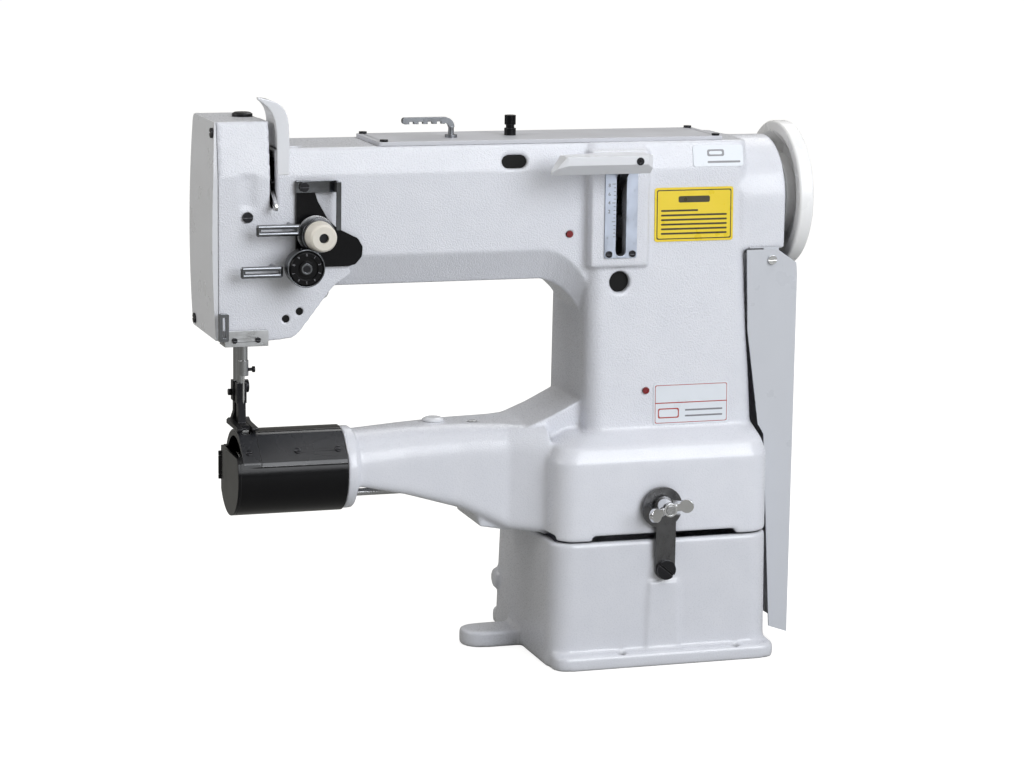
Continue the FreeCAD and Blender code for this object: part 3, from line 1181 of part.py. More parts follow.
def guard_stay():
    """The inner stay between the guard and the collar of the arm."""
    plate = box(433, 462, -GUARD_HALF + GUARD_T + 0.02, -COLLAR_R - 0.02, 353, 354)
    ear = box(446, 460, -GUARD_HALF + GUARD_T + 0.02, -GUARD_HALF + GUARD_T + 0.8, 330, 353.5)
    return cut(fuse(plate, ear), rod_y(-70, -40, 453, 343, 2.0))


def belt_guard():
    return group(guard_channel(), guard_stay())


def cover_screws():
    """Every small screw of the head, as separate solids."""
    return group(*top_cover_screws(), *face_plate_screws(), *front_screws(), *plate_screws())


def top_thread_guides():
    return group(comb_guide(), thread_post())


NODES = [
    base_casting, tilt_hinge_pins, strap_screw, lock_strap, lock_stud, wing_nut,
    main_casting, top_cover, face_plate, take_up_guard, head_bracket, cover_screws,
    top_thread_guides, thread_guides, tension_plate, guide_strip, tension_studs, tension_discs,
    tension_knob, lower_dial, scale_plate, stitch_lever, casting_plugs, oil_caps, label_plates,
    main_shaft, shaft_bearings, handwheel, crank, needle_bar_link, take_up_lever, pivot_pins,
    upper_pulley, timing_belt, lower_shaft, lower_pulley, drive_gear, rotating_hook, hook_saddle,
    bobbin_case, bobbin, cylinder_cap, throat_plate, cover_plate, bobbin_door, feed_dog,
    feed_rock_shaft, needle_frame, needle_bar, needle_screw, needle, inner_foot_bar, inner_foot,
    presser_bar, presser_spring, presser_foot, foot_screws, pressure_regulator, foot_lifter_lever,
    belt_guard,
]

for node in NODES:
    shape = node()
    shape.translate(V(-ORIGIN_X, 0, 0))
    shape.exportStep("parts/" + node.__name__ + ".step")
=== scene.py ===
import json
from math import cos, pi, radians, sin

import bmesh
import bpy
from mathutils import Matrix, Vector, noise


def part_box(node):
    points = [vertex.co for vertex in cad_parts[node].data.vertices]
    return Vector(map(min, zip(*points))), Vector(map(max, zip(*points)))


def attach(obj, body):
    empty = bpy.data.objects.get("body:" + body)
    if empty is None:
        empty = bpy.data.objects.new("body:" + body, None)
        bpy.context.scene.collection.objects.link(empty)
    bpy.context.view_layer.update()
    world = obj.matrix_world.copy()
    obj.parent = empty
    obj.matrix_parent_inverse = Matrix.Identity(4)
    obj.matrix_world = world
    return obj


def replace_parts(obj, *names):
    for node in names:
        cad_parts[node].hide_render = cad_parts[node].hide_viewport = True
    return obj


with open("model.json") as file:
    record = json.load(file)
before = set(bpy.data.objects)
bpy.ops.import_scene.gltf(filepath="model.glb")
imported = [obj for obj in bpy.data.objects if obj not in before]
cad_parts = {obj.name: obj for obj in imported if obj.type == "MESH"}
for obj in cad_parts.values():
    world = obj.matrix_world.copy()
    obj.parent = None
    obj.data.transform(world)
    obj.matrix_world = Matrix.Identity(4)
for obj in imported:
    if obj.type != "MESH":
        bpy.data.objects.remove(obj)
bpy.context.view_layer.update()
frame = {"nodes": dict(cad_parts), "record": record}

MM = 0.001
NODES = frame["nodes"]
SLOT_OF = {part["node"]: part["material_slot"] for part in frame["record"]["subparts"]}
BODY_OF = {node: body for body, nodes in frame["record"]["behaviour"]["bodies"].items() for node in nodes}

# Camera, in the row frame
CAMERA_TARGET = Vector((-0.1251, 0.0, 0.2335))
CAMERA_DISTANCE = 2.6783
CAMERA_AZIMUTH = radians(17.89)
CAMERA_DOWN = radians(10.43)
CAMERA_ROLL = radians(0.8)
CAMERA_LENS = 109.05           # mm on a 36 mm wide sensor

# Mesh detail
CAST_VOXEL = 1.5 * MM
CAST_ROUNDS = 3                # smoothing everywhere on a casting
FILLET_ROUNDS = 16             # more smoothing where the casting is soft
CRISP_MARGIN = 7 * MM          # a casting stays crisp this close to a fitted part
WELD = 0.002 * MM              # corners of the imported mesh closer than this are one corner
EDGE_ANGLE = radians(32)       # an edge sharper than this gets a bevel
FLAT_ANGLE = radians(0.8)      # facets closer than this are one face
MOULD_VOXEL = 0.35 * MM
HORN_VOXEL = 0.5 * MM

# Finish
WRINKLE = 1.2 * MM             # size of one wrinkle of the enamel
SMOOTH_BELOW = 178 * MM        # the lower housing's enamel is smoother than the arm's
PRINT_LIFT = 0.03 * MM         # thickness of one printed layer

# Lower dial, stitch lever and scale
DIAL_FIGURES = 10
DIAL_FIGURE_RADIUS = 11.3 * MM
DIAL_RIM = (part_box("lower_dial")[1].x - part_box("lower_dial")[0].x) / 2 + 0.4 * MM
HANDLE_DEPTH = 36 * MM         # the white part of the stitch lever, from its front
SCALE_MARKS = 15
SCALE_PITCH = 3.2 * MM
SCALE_FIGURE_PITCH = 7.4 * MM

# Studio
FLOOR_HALF = 60.0
FLOOR_TONE = 0.36              # what the object's reflections see
FLOOR_GLOW = 0.86              # what the camera sees on top of the lamps' light
AIM = (0.0, 0.0, 0.3)
LAMPS = {                      # place, aim, size in metres, power in watts, colour
    "key": ((0.75, -2.25, 1.35), AIM, 1.7, 49, (0.94, 0.965, 1.0)),
    "top": ((0.3, -0.4, 2.3), AIM, 1.2, 4, (0.97, 0.98, 1.0)),
    "left": ((-1.25, 0.05, 0.75), (-0.2, 0.0, 0.35), 0.5, 3.3, (1.0, 0.99, 0.96)),
    "rear": ((0.8, 1.5, 2.3), AIM, 1.2, 12, (1.0, 1.0, 1.0)),
}


# Materials

def add(tree, kind, inputs=(), **settings):
    """Adds a shader node, sets its settings, and fills each input from a value or another node's output."""
    made = tree.nodes.new(kind)
    for name, value in settings.items():
        setattr(made, name, value)
    for name, value in dict(inputs).items():
        if isinstance(value, bpy.types.NodeSocket):
            tree.links.new(value, made.inputs[name])
        else:
            made.inputs[name].default_value = value
    return made


def blank(name):
    """A new material with its node tree and its surface shader."""
    material = bpy.data.materials.new(name)
    material.use_nodes = True
    tree = material.node_tree
    return material, tree, tree.nodes["Principled BSDF"]


def connect(tree, output, shader, name):
    tree.links.new(output, shader.inputs[name])


def place(tree, stretch=(1.0, 1.0, 1.0)):
    """The point on the piece in metres, stretched along each axis."""
    where = add(tree, "ShaderNodeTexCoord").outputs["Object"]
    return add(tree, "ShaderNodeMapping", {"Vector": where, "Scale": stretch}).outputs["Vector"]


def noise_of(tree, where, size, detail=2.0, rough=0.5):
    """Soft noise whose blotches are about size metres across."""
    made = add(tree, "ShaderNodeTexNoise", {"Vector": where, "Scale": 1 / size, "Detail": detail,
                                            "Roughness": rough})
    return made.outputs["Fac"]


def remap(tree, value, low, high, new_low, new_high):
    made = add(tree, "ShaderNodeMapRange", {"Value": value, "From Min": low, "From Max": high,
                                            "To Min": new_low, "To Max": new_high})
    return made.outputs["Result"]


def maths(tree, operation, first, second):
    return add(tree, "ShaderNodeMath", {0: first, 1: second}, operation=operation).outputs[0]


def mix_color(tree, share, first, second):
    made = add(tree, "ShaderNodeMix", {"Factor": share, 6: first, 7: second}, data_type="RGBA")
    return made.outputs[2]


def rgba(color):
    return (*color, 1.0)


def edge_mask(tree, radius):
    """A soft normal over the piece's edges, and a mask that is high on them."""
    soft = add(tree, "ShaderNodeBevel", {"Radius": radius}, samples=8).outputs["Normal"]
    true = add(tree, "ShaderNodeNewGeometry").outputs["Normal"]
    facing = add(tree, "ShaderNodeVectorMath", {0: soft, 1: true}, operation="DOT_PRODUCT").outputs["Value"]
    return soft, remap(tree, facing, 0.995, 0.85, 0.0, 1.0)


def crevice_mask(tree, reach):
    """High where other surfaces stand close by; it is used to paint shade into creases and corners."""
    shade = add(tree, "ShaderNodeAmbientOcclusion", {"Distance": reach}, samples=8).outputs["AO"]
    return remap(tree, shade, 0.35, 0.85, 1.0, 0.0)


def bump(tree, height, depth, normal=None, strength=1.0):
    inputs = {"Height": height, "Distance": depth, "Strength": strength}
    if normal is not None:
        inputs["Normal"] = normal
    return add(tree, "ShaderNodeBump", inputs).outputs["Normal"]


def cast_enamel(name, wrinkle, smooth_below=None, shade_tint=1.0):
    """Thick off-white enamel with a fine wrinkle, smoother below a height, painted shade in creases, and
    near-black deep inside as bare iron and painted shade.
    """
    material, tree, shader = blank(name)
    where = place(tree)
    cells = add(tree, "ShaderNodeTexVoronoi", {"Vector": where, "Scale": 1 / WRINKLE, "Smoothness": 0.7},
                feature="SMOOTH_F1").outputs["Distance"]
    grain = maths(tree, "ADD", cells, noise_of(tree, where, 0.8 * WRINKLE, 3.0))
    strength = wrinkle
    if smooth_below is not None:
        height = add(tree, "ShaderNodeSeparateXYZ", {"Vector": where}).outputs["Z"]
        strength = remap(tree, height, smooth_below, smooth_below + 25 * MM, wrinkle * 0.3, wrinkle)
    soft = noise_of(tree, where, 22 * MM, 1.0)
    swell = bump(tree, soft, 0.5 * MM, strength=0.25)
    connect(tree, bump(tree, grain, 0.45 * MM, swell, strength), shader, "Normal")
    # One factor can darken both tones; the base casting's copy uses it as painted shade.
    low, high = [tuple(c * shade_tint for c in color) for color in ((0.71, 0.73, 0.80), (0.77, 0.785, 0.85))]
    tone = mix_color(tree, soft, rgba(low), rgba(high))
    pits = maths(tree, "MULTIPLY", remap(tree, grain, 0.75, 1.15, 0.0, 0.16), strength)
    tone = mix_color(tree, pits, tone, rgba((0.50, 0.50, 0.52)))
    # Painted shade: the colour goes warm grey where other surfaces stand close, in creases and corners.
    crease_shade = maths(tree, "MULTIPLY", crevice_mask(tree, 8 * MM), 0.3)
    tone = mix_color(tree, crease_shade, tone, rgba((0.30, 0.29, 0.27)))
    # Near-black where the casting is closed in: bare iron, and painted shade for the dark inside of its slots
    # and hollows.
    open_share = add(tree, "ShaderNodeAmbientOcclusion", {"Distance": 110 * MM}, samples=4).outputs["AO"]
    inside = remap(tree, open_share, 0.05, 0.16, 1.0, 0.0)
    connect(tree, mix_color(tree, inside, tone, rgba((0.035, 0.033, 0.03))), shader, "Base Color")
    connect(tree, remap(tree, grain, 0.4, 1.3, 0.20, 0.36), shader, "Roughness")
    shader.inputs["Coat Weight"].default_value = 0.4
    shader.inputs["Coat Roughness"].default_value = 0.14
    return material


def smooth_paint(name, color, roughness, speckle=0.03, bright_edge=(0.9, 0.9, 0.9), edge_wear_and_highlight_share=0.15, shine=0.5,
                 crease_shade_strength=0.08):
    """Sprayed paint or moulded plastic: a faint orange peel, uneven gloss, slightly lighter edges from
    rubbing and, on the dark plates, as a painted highlight, and painted shade in creases.
    """
    material, tree, shader = blank(name)
    where = place(tree)
    edges = edge_mask(tree, 0.5 * MM)[1]
    peel = noise_of(tree, where, 1.6 * MM)
    connect(tree, bump(tree, peel, 0.05 * MM, strength=0.35), shader, "Normal")
    cloud = noise_of(tree, where, 28 * MM, 4.0)
    low = tuple(c * (1 - speckle) for c in color)
    tone = mix_color(tree, cloud, rgba(low), rgba(color))
    # Lighter edges: rubbing, and on the near-black plates a painted highlight along the edges.
    edge_wear_and_highlight = maths(tree, "MULTIPLY", edges, edge_wear_and_highlight_share)
    tone = mix_color(tree, edge_wear_and_highlight, tone, rgba(bright_edge))
    # Painted shade: darker where other surfaces stand close.
    crease_shade = maths(tree, "MULTIPLY", crevice_mask(tree, 4 * MM), crease_shade_strength)
    dark = tuple(c * 0.45 for c in color)
    connect(tree, mix_color(tree, crease_shade, tone, rgba(dark)), shader, "Base Color")
    connect(tree, remap(tree, cloud, 0.3, 0.7, roughness * 0.85, roughness * 1.2), shader, "Roughness")
    shader.inputs["Specular IOR Level"].default_value = shine
    return material


def metal(name, color, roughness, grain=(1.0, 1.0, 1.0), depth=0.02, tarnish=0.25):
    """Machined or plated metal: tool marks drawn out along one axis, bright edges, dull patches."""
    material, tree, shader = blank(name)
    soft, edges = edge_mask(tree, 0.35 * MM)
    marks = noise_of(tree, place(tree, grain), 0.45 * MM, 3.0, 0.6)
    patches = noise_of(tree, place(tree), 9 * MM, 3.0)
    connect(tree, bump(tree, marks, depth * MM, soft, 0.5), shader, "Normal")
    dull = tuple(c * (1 - tarnish) for c in color)
    bright = tuple(min(1.0, c * 1.35 + 0.05) for c in color)
    tone = mix_color(tree, patches, rgba(dull), rgba(color))
    tone = mix_color(tree, maths(tree, "MULTIPLY", edges, 0.7), tone, rgba(bright))
    connect(tree, tone, shader, "Base Color")
    rough = maths(tree, "ADD", remap(tree, marks, 0.3, 0.7, roughness * 0.75, roughness * 1.15),
                  remap(tree, patches, 0.4, 0.75, 0.0, roughness * 0.4))
    connect(tree, rough, shader, "Roughness")
    shader.inputs["Metallic"].default_value = 1.0
    return material


def black_oxide(name):
    """Oiled black steel whose edges have gone back to bright metal through use."""
    material, tree, shader = blank(name)
    soft, edges = edge_mask(tree, 0.4 * MM)
    where = place(tree)
    grain = noise_of(tree, where, 0.6 * MM, 3.0)
    bright_edge = maths(tree, "MULTIPLY", edges, remap(tree, noise_of(tree, where, 3 * MM), 0.4, 0.6, 0.2, 0.8))
    connect(tree, bump(tree, grain, 0.03 * MM, soft, 0.4), shader, "Normal")
    tone = mix_color(tree, bright_edge, rgba((0.022, 0.022, 0.025)), rgba((0.32, 0.32, 0.34)))
    connect(tree, tone, shader, "Base Color")
    connect(tree, remap(tree, grain, 0.3, 0.7, 0.28, 0.46), shader, "Roughness")
    shader.inputs["Metallic"].default_value = 0.75
    return material


def plain_plate(name, color):
    """Printed foil under a clear film."""
    material, tree, shader = blank(name)
    cloud = noise_of(tree, place(tree), 12 * MM)
    low = tuple(c * 0.94 for c in color)
    connect(tree, mix_color(tree, cloud, rgba(low), rgba(color)), shader, "Base Color")
    connect(tree, bump(tree, cloud, 0.1 * MM, strength=0.2), shader, "Normal")
    connect(tree, remap(tree, cloud, 0.3, 0.7, 0.26, 0.4), shader, "Roughness")
    return material


STEEL = (0.56, 0.565, 0.58)
MATERIALS = {
    "enamel": cast_enamel("enamel", 0.7, SMOOTH_BELOW),
    # The base casting's enamel is a darker copy of the same enamel: painted shade.
    "base_enamel": cast_enamel("base_enamel", 0.16, shade_tint=0.91),
    "white_sheet": smooth_paint("white_sheet", (0.72, 0.735, 0.78), 0.3, crease_shade_strength=0.0),
    "wheel_white": smooth_paint("wheel_white", (0.92, 0.925, 0.94), 0.28),
    "guard_paint": smooth_paint("guard_paint", (0.58, 0.60, 0.65), 0.3),
    "cover_grey": smooth_paint("cover_grey", (0.60, 0.61, 0.66), 0.34),
    "white_plastic": smooth_paint("white_plastic", (0.80, 0.815, 0.86), 0.22),
    "black_satin": smooth_paint("black_satin", (0.003, 0.003, 0.004), 0.2, bright_edge=(0.12, 0.12, 0.13),
                                edge_wear_and_highlight_share=0.5, shine=0.25),
    # The dark plates' lighter edges are a painted highlight as well as rubbing.
    "plate_grey": smooth_paint("plate_grey", (0.022, 0.023, 0.027), 0.26, bright_edge=(0.5, 0.5, 0.52), edge_wear_and_highlight_share=0.6),
    "dark_chrome": metal("dark_chrome", (0.24, 0.25, 0.27), 0.16, depth=0.006, tarnish=0.2),
    "bar_chrome": metal("bar_chrome", (0.50, 0.51, 0.53), 0.09, (1.0, 1.0, 0.05), 0.01, 0.15),
    "black_oxide": black_oxide("black_oxide"),
    "steel": metal("steel", STEEL, 0.26, (1.0, 0.06, 1.0)),
    "strap_steel": metal("strap_steel", (0.15, 0.15, 0.155), 0.3, (1.0, 1.0, 0.05), 0.04),
    "comb_steel": metal("comb_steel", (0.27, 0.28, 0.30), 0.36, (0.05, 1.0, 1.0), 0.03),
    "chrome": metal("chrome", (0.80, 0.805, 0.82), 0.08, depth=0.004, tarnish=0.08),
    "aluminium": metal("aluminium", (0.66, 0.67, 0.69), 0.30, (0.08, 1.0, 1.0)),
    "scale_steel": metal("scale_steel", (0.56, 0.61, 0.72), 0.34, (1.0, 1.0, 0.05), 0.01, 0.12),
    "cast_machined": metal("cast_machined", (0.20, 0.20, 0.205), 0.5, depth=0.12, tarnish=0.3),
    "bronze": metal("bronze", (0.50, 0.36, 0.16), 0.38),
    "ivory": smooth_paint("ivory", (0.80, 0.76, 0.69), 0.35, speckle=0.1, bright_edge=(0.85, 0.82, 0.76)),
    "rubber": smooth_paint("rubber", (0.004, 0.004, 0.004), 0.45, bright_edge=(0.03, 0.03, 0.03), shine=0.2),
    "red": smooth_paint("red", (0.20, 0.012, 0.015), 0.28, bright_edge=(0.4, 0.1, 0.1)),
    "yellow": plain_plate("yellow", (0.88, 0.66, 0.03)),
    "ink": plain_plate("ink", (0.05, 0.04, 0.015)),
    "label_white": plain_plate("label_white", (0.76, 0.80, 0.86)),
    "rule_red": plain_plate("rule_red", (0.42, 0.06, 0.05)),
    "rule_grey": plain_plate("rule_grey", (0.22, 0.22, 0.24)),
    "nylon": smooth_paint("nylon", (0.02, 0.02, 0.022), 0.6),
}


# Pieces made from the frame's own shapes

def mesh_of(node):
    """A bmesh copy of a CAD node with its split corners joined again."""
    mesh = bmesh.new()
    mesh.from_mesh(NODES[node].data)
    bmesh.ops.remove_doubles(mesh, verts=mesh.verts, dist=WELD)
    return mesh


def to_object(mesh, name):
    data = bpy.data.meshes.new(name)
    mesh.to_mesh(data)
    mesh.free()
    piece = bpy.data.objects.new(name, data)
    bpy.context.scene.collection.objects.link(piece)
    return piece


def settle(piece):
    """Turns the piece's modifiers into its mesh."""
    graph = bpy.context.evaluated_depsgraph_get()
    done = bpy.data.meshes.new_from_object(piece.evaluated_get(graph))
    piece.modifiers.clear()
    piece.data = done
    return piece


def dress(piece, body, material, smooth=True):
    """Gives a finished piece its material and its body."""
    piece.data.materials.clear()
    piece.data.materials.append(MATERIALS[material])
    if smooth:
        piece.data.shade_smooth()
    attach(piece, body)
    return piece


def split_islands(mesh):
    """The separate solids of a mesh, each as its own list of faces, from left to right."""
    left, islands = set(mesh.faces), []
    while left:
        front, found = [left.pop()], []
        while front:
            face = front.pop()
            found.append(face)
            near = {f for e in face.edges for f in e.link_faces if f in left}
            left -= near
            front.extend(near)
        islands.append(found)
    return sorted(islands, key=lambda faces: min(v.co.x for f in faces for v in f.verts))


def solids_of(node):
    """Each solid of a CAD node as its own bmesh, from left to right."""
    whole = mesh_of(node)
    solids = []
    for faces in split_islands(whole):
        part = bmesh.new()
        seen = {}
        for face in faces:
            corners = []
            for vert in face.verts:
                if vert not in seen:
                    seen[vert] = part.verts.new(vert.co)
                corners.append(seen[vert])
            part.faces.new(corners)
        solids.append(part)
    whole.free()
    return solids


def bevel(piece, width):
    """Rounds the sharp edges of a machined piece."""
    made = piece.modifiers.new("edges", "BEVEL")
    made.width = width
    made.segments = 2
    made.limit_method = "ANGLE"
    made.angle_limit = EDGE_ANGLE
    even = piece.modifiers.new("normals", "WEIGHTED_NORMAL")
    even.keep_sharp = True
    return settle(piece)


def machined(node, materials, width=0.3 * MM):
    """Replaces a CAD node by bevelled copies of its solids, one material name for each, or one for all."""
    solids = solids_of(node)
    names = materials if isinstance(materials, (list, tuple)) else [materials] * len(solids)
    pieces = []
    for i, (solid, material) in enumerate(zip(solids, names)):
        bmesh.ops.dissolve_limit(solid, angle_limit=FLAT_ANGLE, verts=solid.verts, edges=solid.edges)
        piece = to_object(solid, f"{node}_{i}")
        piece.data.shade_smooth()
        bevel(piece, width)
        pieces.append(dress(piece, BODY_OF[node], material, smooth=False))
    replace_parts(pieces[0], node)
    return pieces


def moulded(node, material, voxel, rounds):
    """Replaces a CAD node by one soft skin, as a small casting or a moulding has."""
    piece = to_object(mesh_of(node), f"{node}_skin")
    skin = piece.modifiers.new("skin", "REMESH")
    skin.mode = "VOXEL"
    skin.voxel_size = voxel
    soft = piece.modifiers.new("soft", "SMOOTH")
    soft.iterations = rounds
    dress(settle(piece), BODY_OF[node], material)
    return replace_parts(piece, node)


def crisp_boxes():
    """Places where parts are fitted to the castings, so their edges there stay clean."""
    fitted = ("scale_plate", "face_plate", "take_up_guard", "top_cover", "head_bracket", "shaft_bearings",
              "cylinder_cap", "casting_plugs", "lock_stud", "needle_frame")
    return [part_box(node) for node in fitted]


def crispness(point, boxes, split):
    """1 close to a fitted part or the split between the castings, falling to 0 in the open."""
    nearest = abs(point.z - split)
    for low, high in boxes:
        gap = Vector([max(low[i] - point[i], 0.0, point[i] - high[i]) for i in range(3)])
        nearest = min(nearest, gap.length)
    return max(0.0, 1.0 - nearest / CRISP_MARGIN)


def casting(node, material):
    """A cast copy of a CAD node: one continuous skin with soft fillets, crisp where parts are fitted."""
    piece = to_object(mesh_of(node), f"{node}_skin")
    skin = piece.modifiers.new("skin", "REMESH")
    skin.mode = "VOXEL"
    skin.voxel_size = CAST_VOXEL
    settle(piece)
    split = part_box("base_casting")[1].z
    boxes = crisp_boxes()
    group = piece.vertex_groups.new(name="soft")
    for vert in piece.data.vertices:
        group.add([vert.index], 1.0 - crispness(vert.co, boxes, split), "REPLACE")
    for rounds, mask in ((CAST_ROUNDS, ""), (FILLET_ROUNDS, "soft")):
        soft = piece.modifiers.new("fillets", "SMOOTH")
        soft.iterations = rounds
        soft.vertex_group = mask
    dress(settle(piece), BODY_OF[node], material)
    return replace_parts(piece, node)


casting("main_casting", "enamel")
casting("base_casting", "base_enamel")

for node, material in {
        "cylinder_cap": "black_satin", "bobbin_door": "black_satin", "tension_plate": "black_satin",
        "cover_plate": "plate_grey", "throat_plate": "plate_grey", "guide_strip": "dark_chrome",
        "lock_strap": "strap_steel", "head_bracket": "aluminium", "presser_foot": "black_oxide",
        "inner_foot": "black_oxide", "take_up_lever": "chrome", "stitch_lever": "white_plastic",
        "face_plate": "white_sheet", "top_cover": "cover_grey", "strap_screw": "black_oxide",
        "needle_screw": "black_oxide", "foot_screws": "black_oxide", "pressure_regulator": "black_oxide",
        # The tension studs are black oxide so the knob's nose shows dark: painted shade for the hole there.
        "lower_dial": "black_satin", "tension_knob": "ivory", "tension_studs": "black_oxide",
        "handwheel": "wheel_white", "oil_caps": "red", "lock_stud": "steel",
        "scale_plate": "scale_steel", "thread_guides": "dark_chrome", "tension_discs": "steel",
        "needle_bar": "bar_chrome", "presser_bar": "bar_chrome", "inner_foot_bar": "bar_chrome",
        "top_thread_guides": ("comb_steel", "black_satin"),
        # The rubber plugs are near-black and sit back in the casting's holes: partly real plugs, partly
        # painted shade for the dark inside of the holes.
        "casting_plugs": ("rubber", "rubber", "white_plastic", "steel", "rubber", "rubber")}.items():
    machined(node, material)
for node in ("wing_nut", "foot_lifter_lever"):
    moulded(node, "chrome", MOULD_VOXEL, 3)
moulded("take_up_guard", "white_plastic", HORN_VOXEL, 9)


def screws_of_the_head():
    """The small screws: black, apart from the bright one that holds the belt guard."""
    guard_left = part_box("belt_guard")[0].x
    pieces = machined("cover_screws", "black_oxide")
    for piece in pieces:
        if min(vert.co.x for vert in piece.data.vertices) > guard_left:
            piece.data.materials[0] = MATERIALS["chrome"]


screws_of_the_head()


# Details that stand on the frame's shapes

def middle(node):
    low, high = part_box(node)
    return (low + high) / 2


def turned(name, profile, centre, node, material, segments=48):
    """A ring turned about an axis along Y: a closed outline of (y, radius) in metres."""
    mesh = bmesh.new()
    rings = []
    for y, radius in profile:
        angles = [2 * pi * i / segments for i in range(segments)]
        rings.append([mesh.verts.new((centre.x + radius * cos(a), y, centre.z + radius * sin(a)))
                      for a in angles])
    for ring, after in zip(rings, rings[1:] + rings[:1]):
        for i in range(segments):
            j = (i + 1) % segments
            mesh.faces.new((ring[i], ring[j], after[j], after[i]))
    bmesh.ops.recalc_face_normals(mesh, faces=mesh.faces)
    piece = to_object(mesh, name)
    piece.data.shade_smooth()
    bevel(piece, 0.15 * MM)
    return dress(piece, BODY_OF[node], material, smooth=False)


def ring_outline(y0, y1, inner, outer):
    return [(y0, inner), (y0, outer), (y1, outer), (y1, inner)]


def numeral(text, name, where, size, spin, node, material):
    """A raised figure that faces the front, turned by spin about its own middle."""
    font = bpy.data.curves.new(name, "FONT")
    font.body = text
    font.size = size
    font.align_x = "CENTER"
    font.align_y = "CENTER"
    font.extrude = 0.03 * MM
    font.materials.append(MATERIALS[material])
    piece = bpy.data.objects.new(name, font)
    bpy.context.scene.collection.objects.link(piece)
    upright = Matrix.Rotation(pi / 2, 4, "X")
    piece.matrix_world = Matrix.Translation(where) @ upright @ Matrix.Rotation(spin, 4, "Z")
    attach(piece, BODY_OF[node])
    return piece


def dial_face():
    """Figures round the lower dial, its steel rim, and the steel nut at its middle."""
    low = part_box("lower_dial")[0]
    centre = middle("lower_dial")
    for figure in range(DIAL_FIGURES):
        angle = 2 * pi * figure / DIAL_FIGURES
        where = centre + Vector((sin(angle), 0.0, cos(angle))) * DIAL_FIGURE_RADIUS
        where.y = low.y - 0.02 * MM
        numeral(str(figure), f"dial_figure_{figure}", where, 3.0 * MM, -angle, "lower_dial", "rule_grey")
    turned("dial_rim", ring_outline(low.y + 0.6 * MM, low.y + 2.2 * MM, DIAL_RIM - 1 * MM, DIAL_RIM), centre,
           "lower_dial", "dark_chrome")
    turned("dial_nut", ring_outline(low.y - 0.8 * MM, low.y + 1.4 * MM, 3.1 * MM, 4.6 * MM), centre,
           "lower_dial", "dark_chrome")


def knob_rings():
    """Two steel collars behind the ivory tension knob."""
    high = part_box("tension_knob")[1]
    centre = middle("tension_knob")
    turned("knob_collar", ring_outline(high.y + 0.1 * MM, high.y + 1.4 * MM, 9.5 * MM, 13.4 * MM), centre,
           "tension_knob", "strap_steel")
    turned("knob_seat", ring_outline(high.y + 2.2 * MM, high.y + 4.0 * MM, 9.5 * MM, 14.2 * MM), centre,
           "tension_knob", "dark_chrome")


def scale_marks():
    """Graduations beside the slot of the scale plate, and four figures."""
    low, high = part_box("scale_plate")
    face = low.y - 0.02 * MM
    for i in range(SCALE_MARKS):
        z = high.z - 12 * MM - SCALE_PITCH * i
        length = 3.2 * MM if i % 5 == 0 else 1.8 * MM
        x1 = middle("scale_plate").x - 5.2 * MM
        panel(f"scale_mark_{i}", Vector((x1 - length, face, z)), length, 0.4 * MM, "scale_plate", "ink")
    for i, figure in enumerate("8642"):
        where = Vector((low.x + 3.6 * MM, face, high.z - 13 * MM - SCALE_FIGURE_PITCH * i))
        numeral(figure, f"scale_figure_{figure}", where, 4.2 * MM, 0.0, "scale_plate", "ink")


def rounded_outline(width, height, radius):
    """Corners of a rounded rectangle from its low left corner."""
    points = []
    for cx, cy, start in ((width - radius, height - radius, 0.0), (radius, height - radius, pi / 2),
                          (radius, radius, pi), (width - radius, radius, 3 * pi / 2)):
        for step in range(7):
            angle = start + pi / 2 * step / 6
            points.append((cx + radius * cos(angle), cy + radius * sin(angle)))
    return points


def panel(name, corner, width, height, node, material, up=Vector((0, 0, 1)), radius=0.12 * MM,
          thick=0.04 * MM):
    """A thin plate with rounded corners that stands proud of a front face."""
    across = Vector((1, 0, 0))
    out = across.cross(up)
    mesh = bmesh.new()
    rim = [mesh.verts.new(corner + across * u + up * v) for u, v in rounded_outline(width, height, radius)]
    face = mesh.faces.new(rim)
    made = bmesh.ops.extrude_face_region(mesh, geom=[face])["geom"]
    bmesh.ops.translate(mesh, verts=[g for g in made if isinstance(g, bmesh.types.BMVert)], vec=out * thick)
    bmesh.ops.recalc_face_normals(mesh, faces=mesh.faces)
    return dress(to_object(mesh, name), BODY_OF[node], material, smooth=False)


def label_frame(solid):
    """The low left corner of a label's back, its upward direction, and its width, height and thickness."""
    low_z, high_z = (pick(v.co.z for v in solid.verts) for pick in (min, max))
    left, right = (pick(v.co.x for v in solid.verts) for pick in (min, max))
    foot = [v.co.y for v in solid.verts if v.co.z < low_z + 0.1 * MM]
    head = [v.co.y for v in solid.verts if v.co.z > high_z - 0.1 * MM]
    corner = Vector((left, max(foot), low_z))
    top = Vector((left, max(head), high_z))
    return corner, (top - corner).normalized(), right - left, (top - corner).length, max(foot) - min(foot)


def mark(label, name, left, right, low, high, material, layer=1):
    """A printed patch on a label, given in parts of its width and height."""
    corner, up, width, height, thick = label
    out = Vector((1, 0, 0)).cross(up)
    at = corner + Vector((1, 0, 0)) * left * width + up * low * height
    at += out * (thick + (layer - 1) * PRINT_LIFT)
    panel(name, at, (right - left) * width, (high - low) * height, "label_plates", material, up,
          radius=min(1.6 * MM, (high - low) * height * 0.45), thick=PRINT_LIFT)


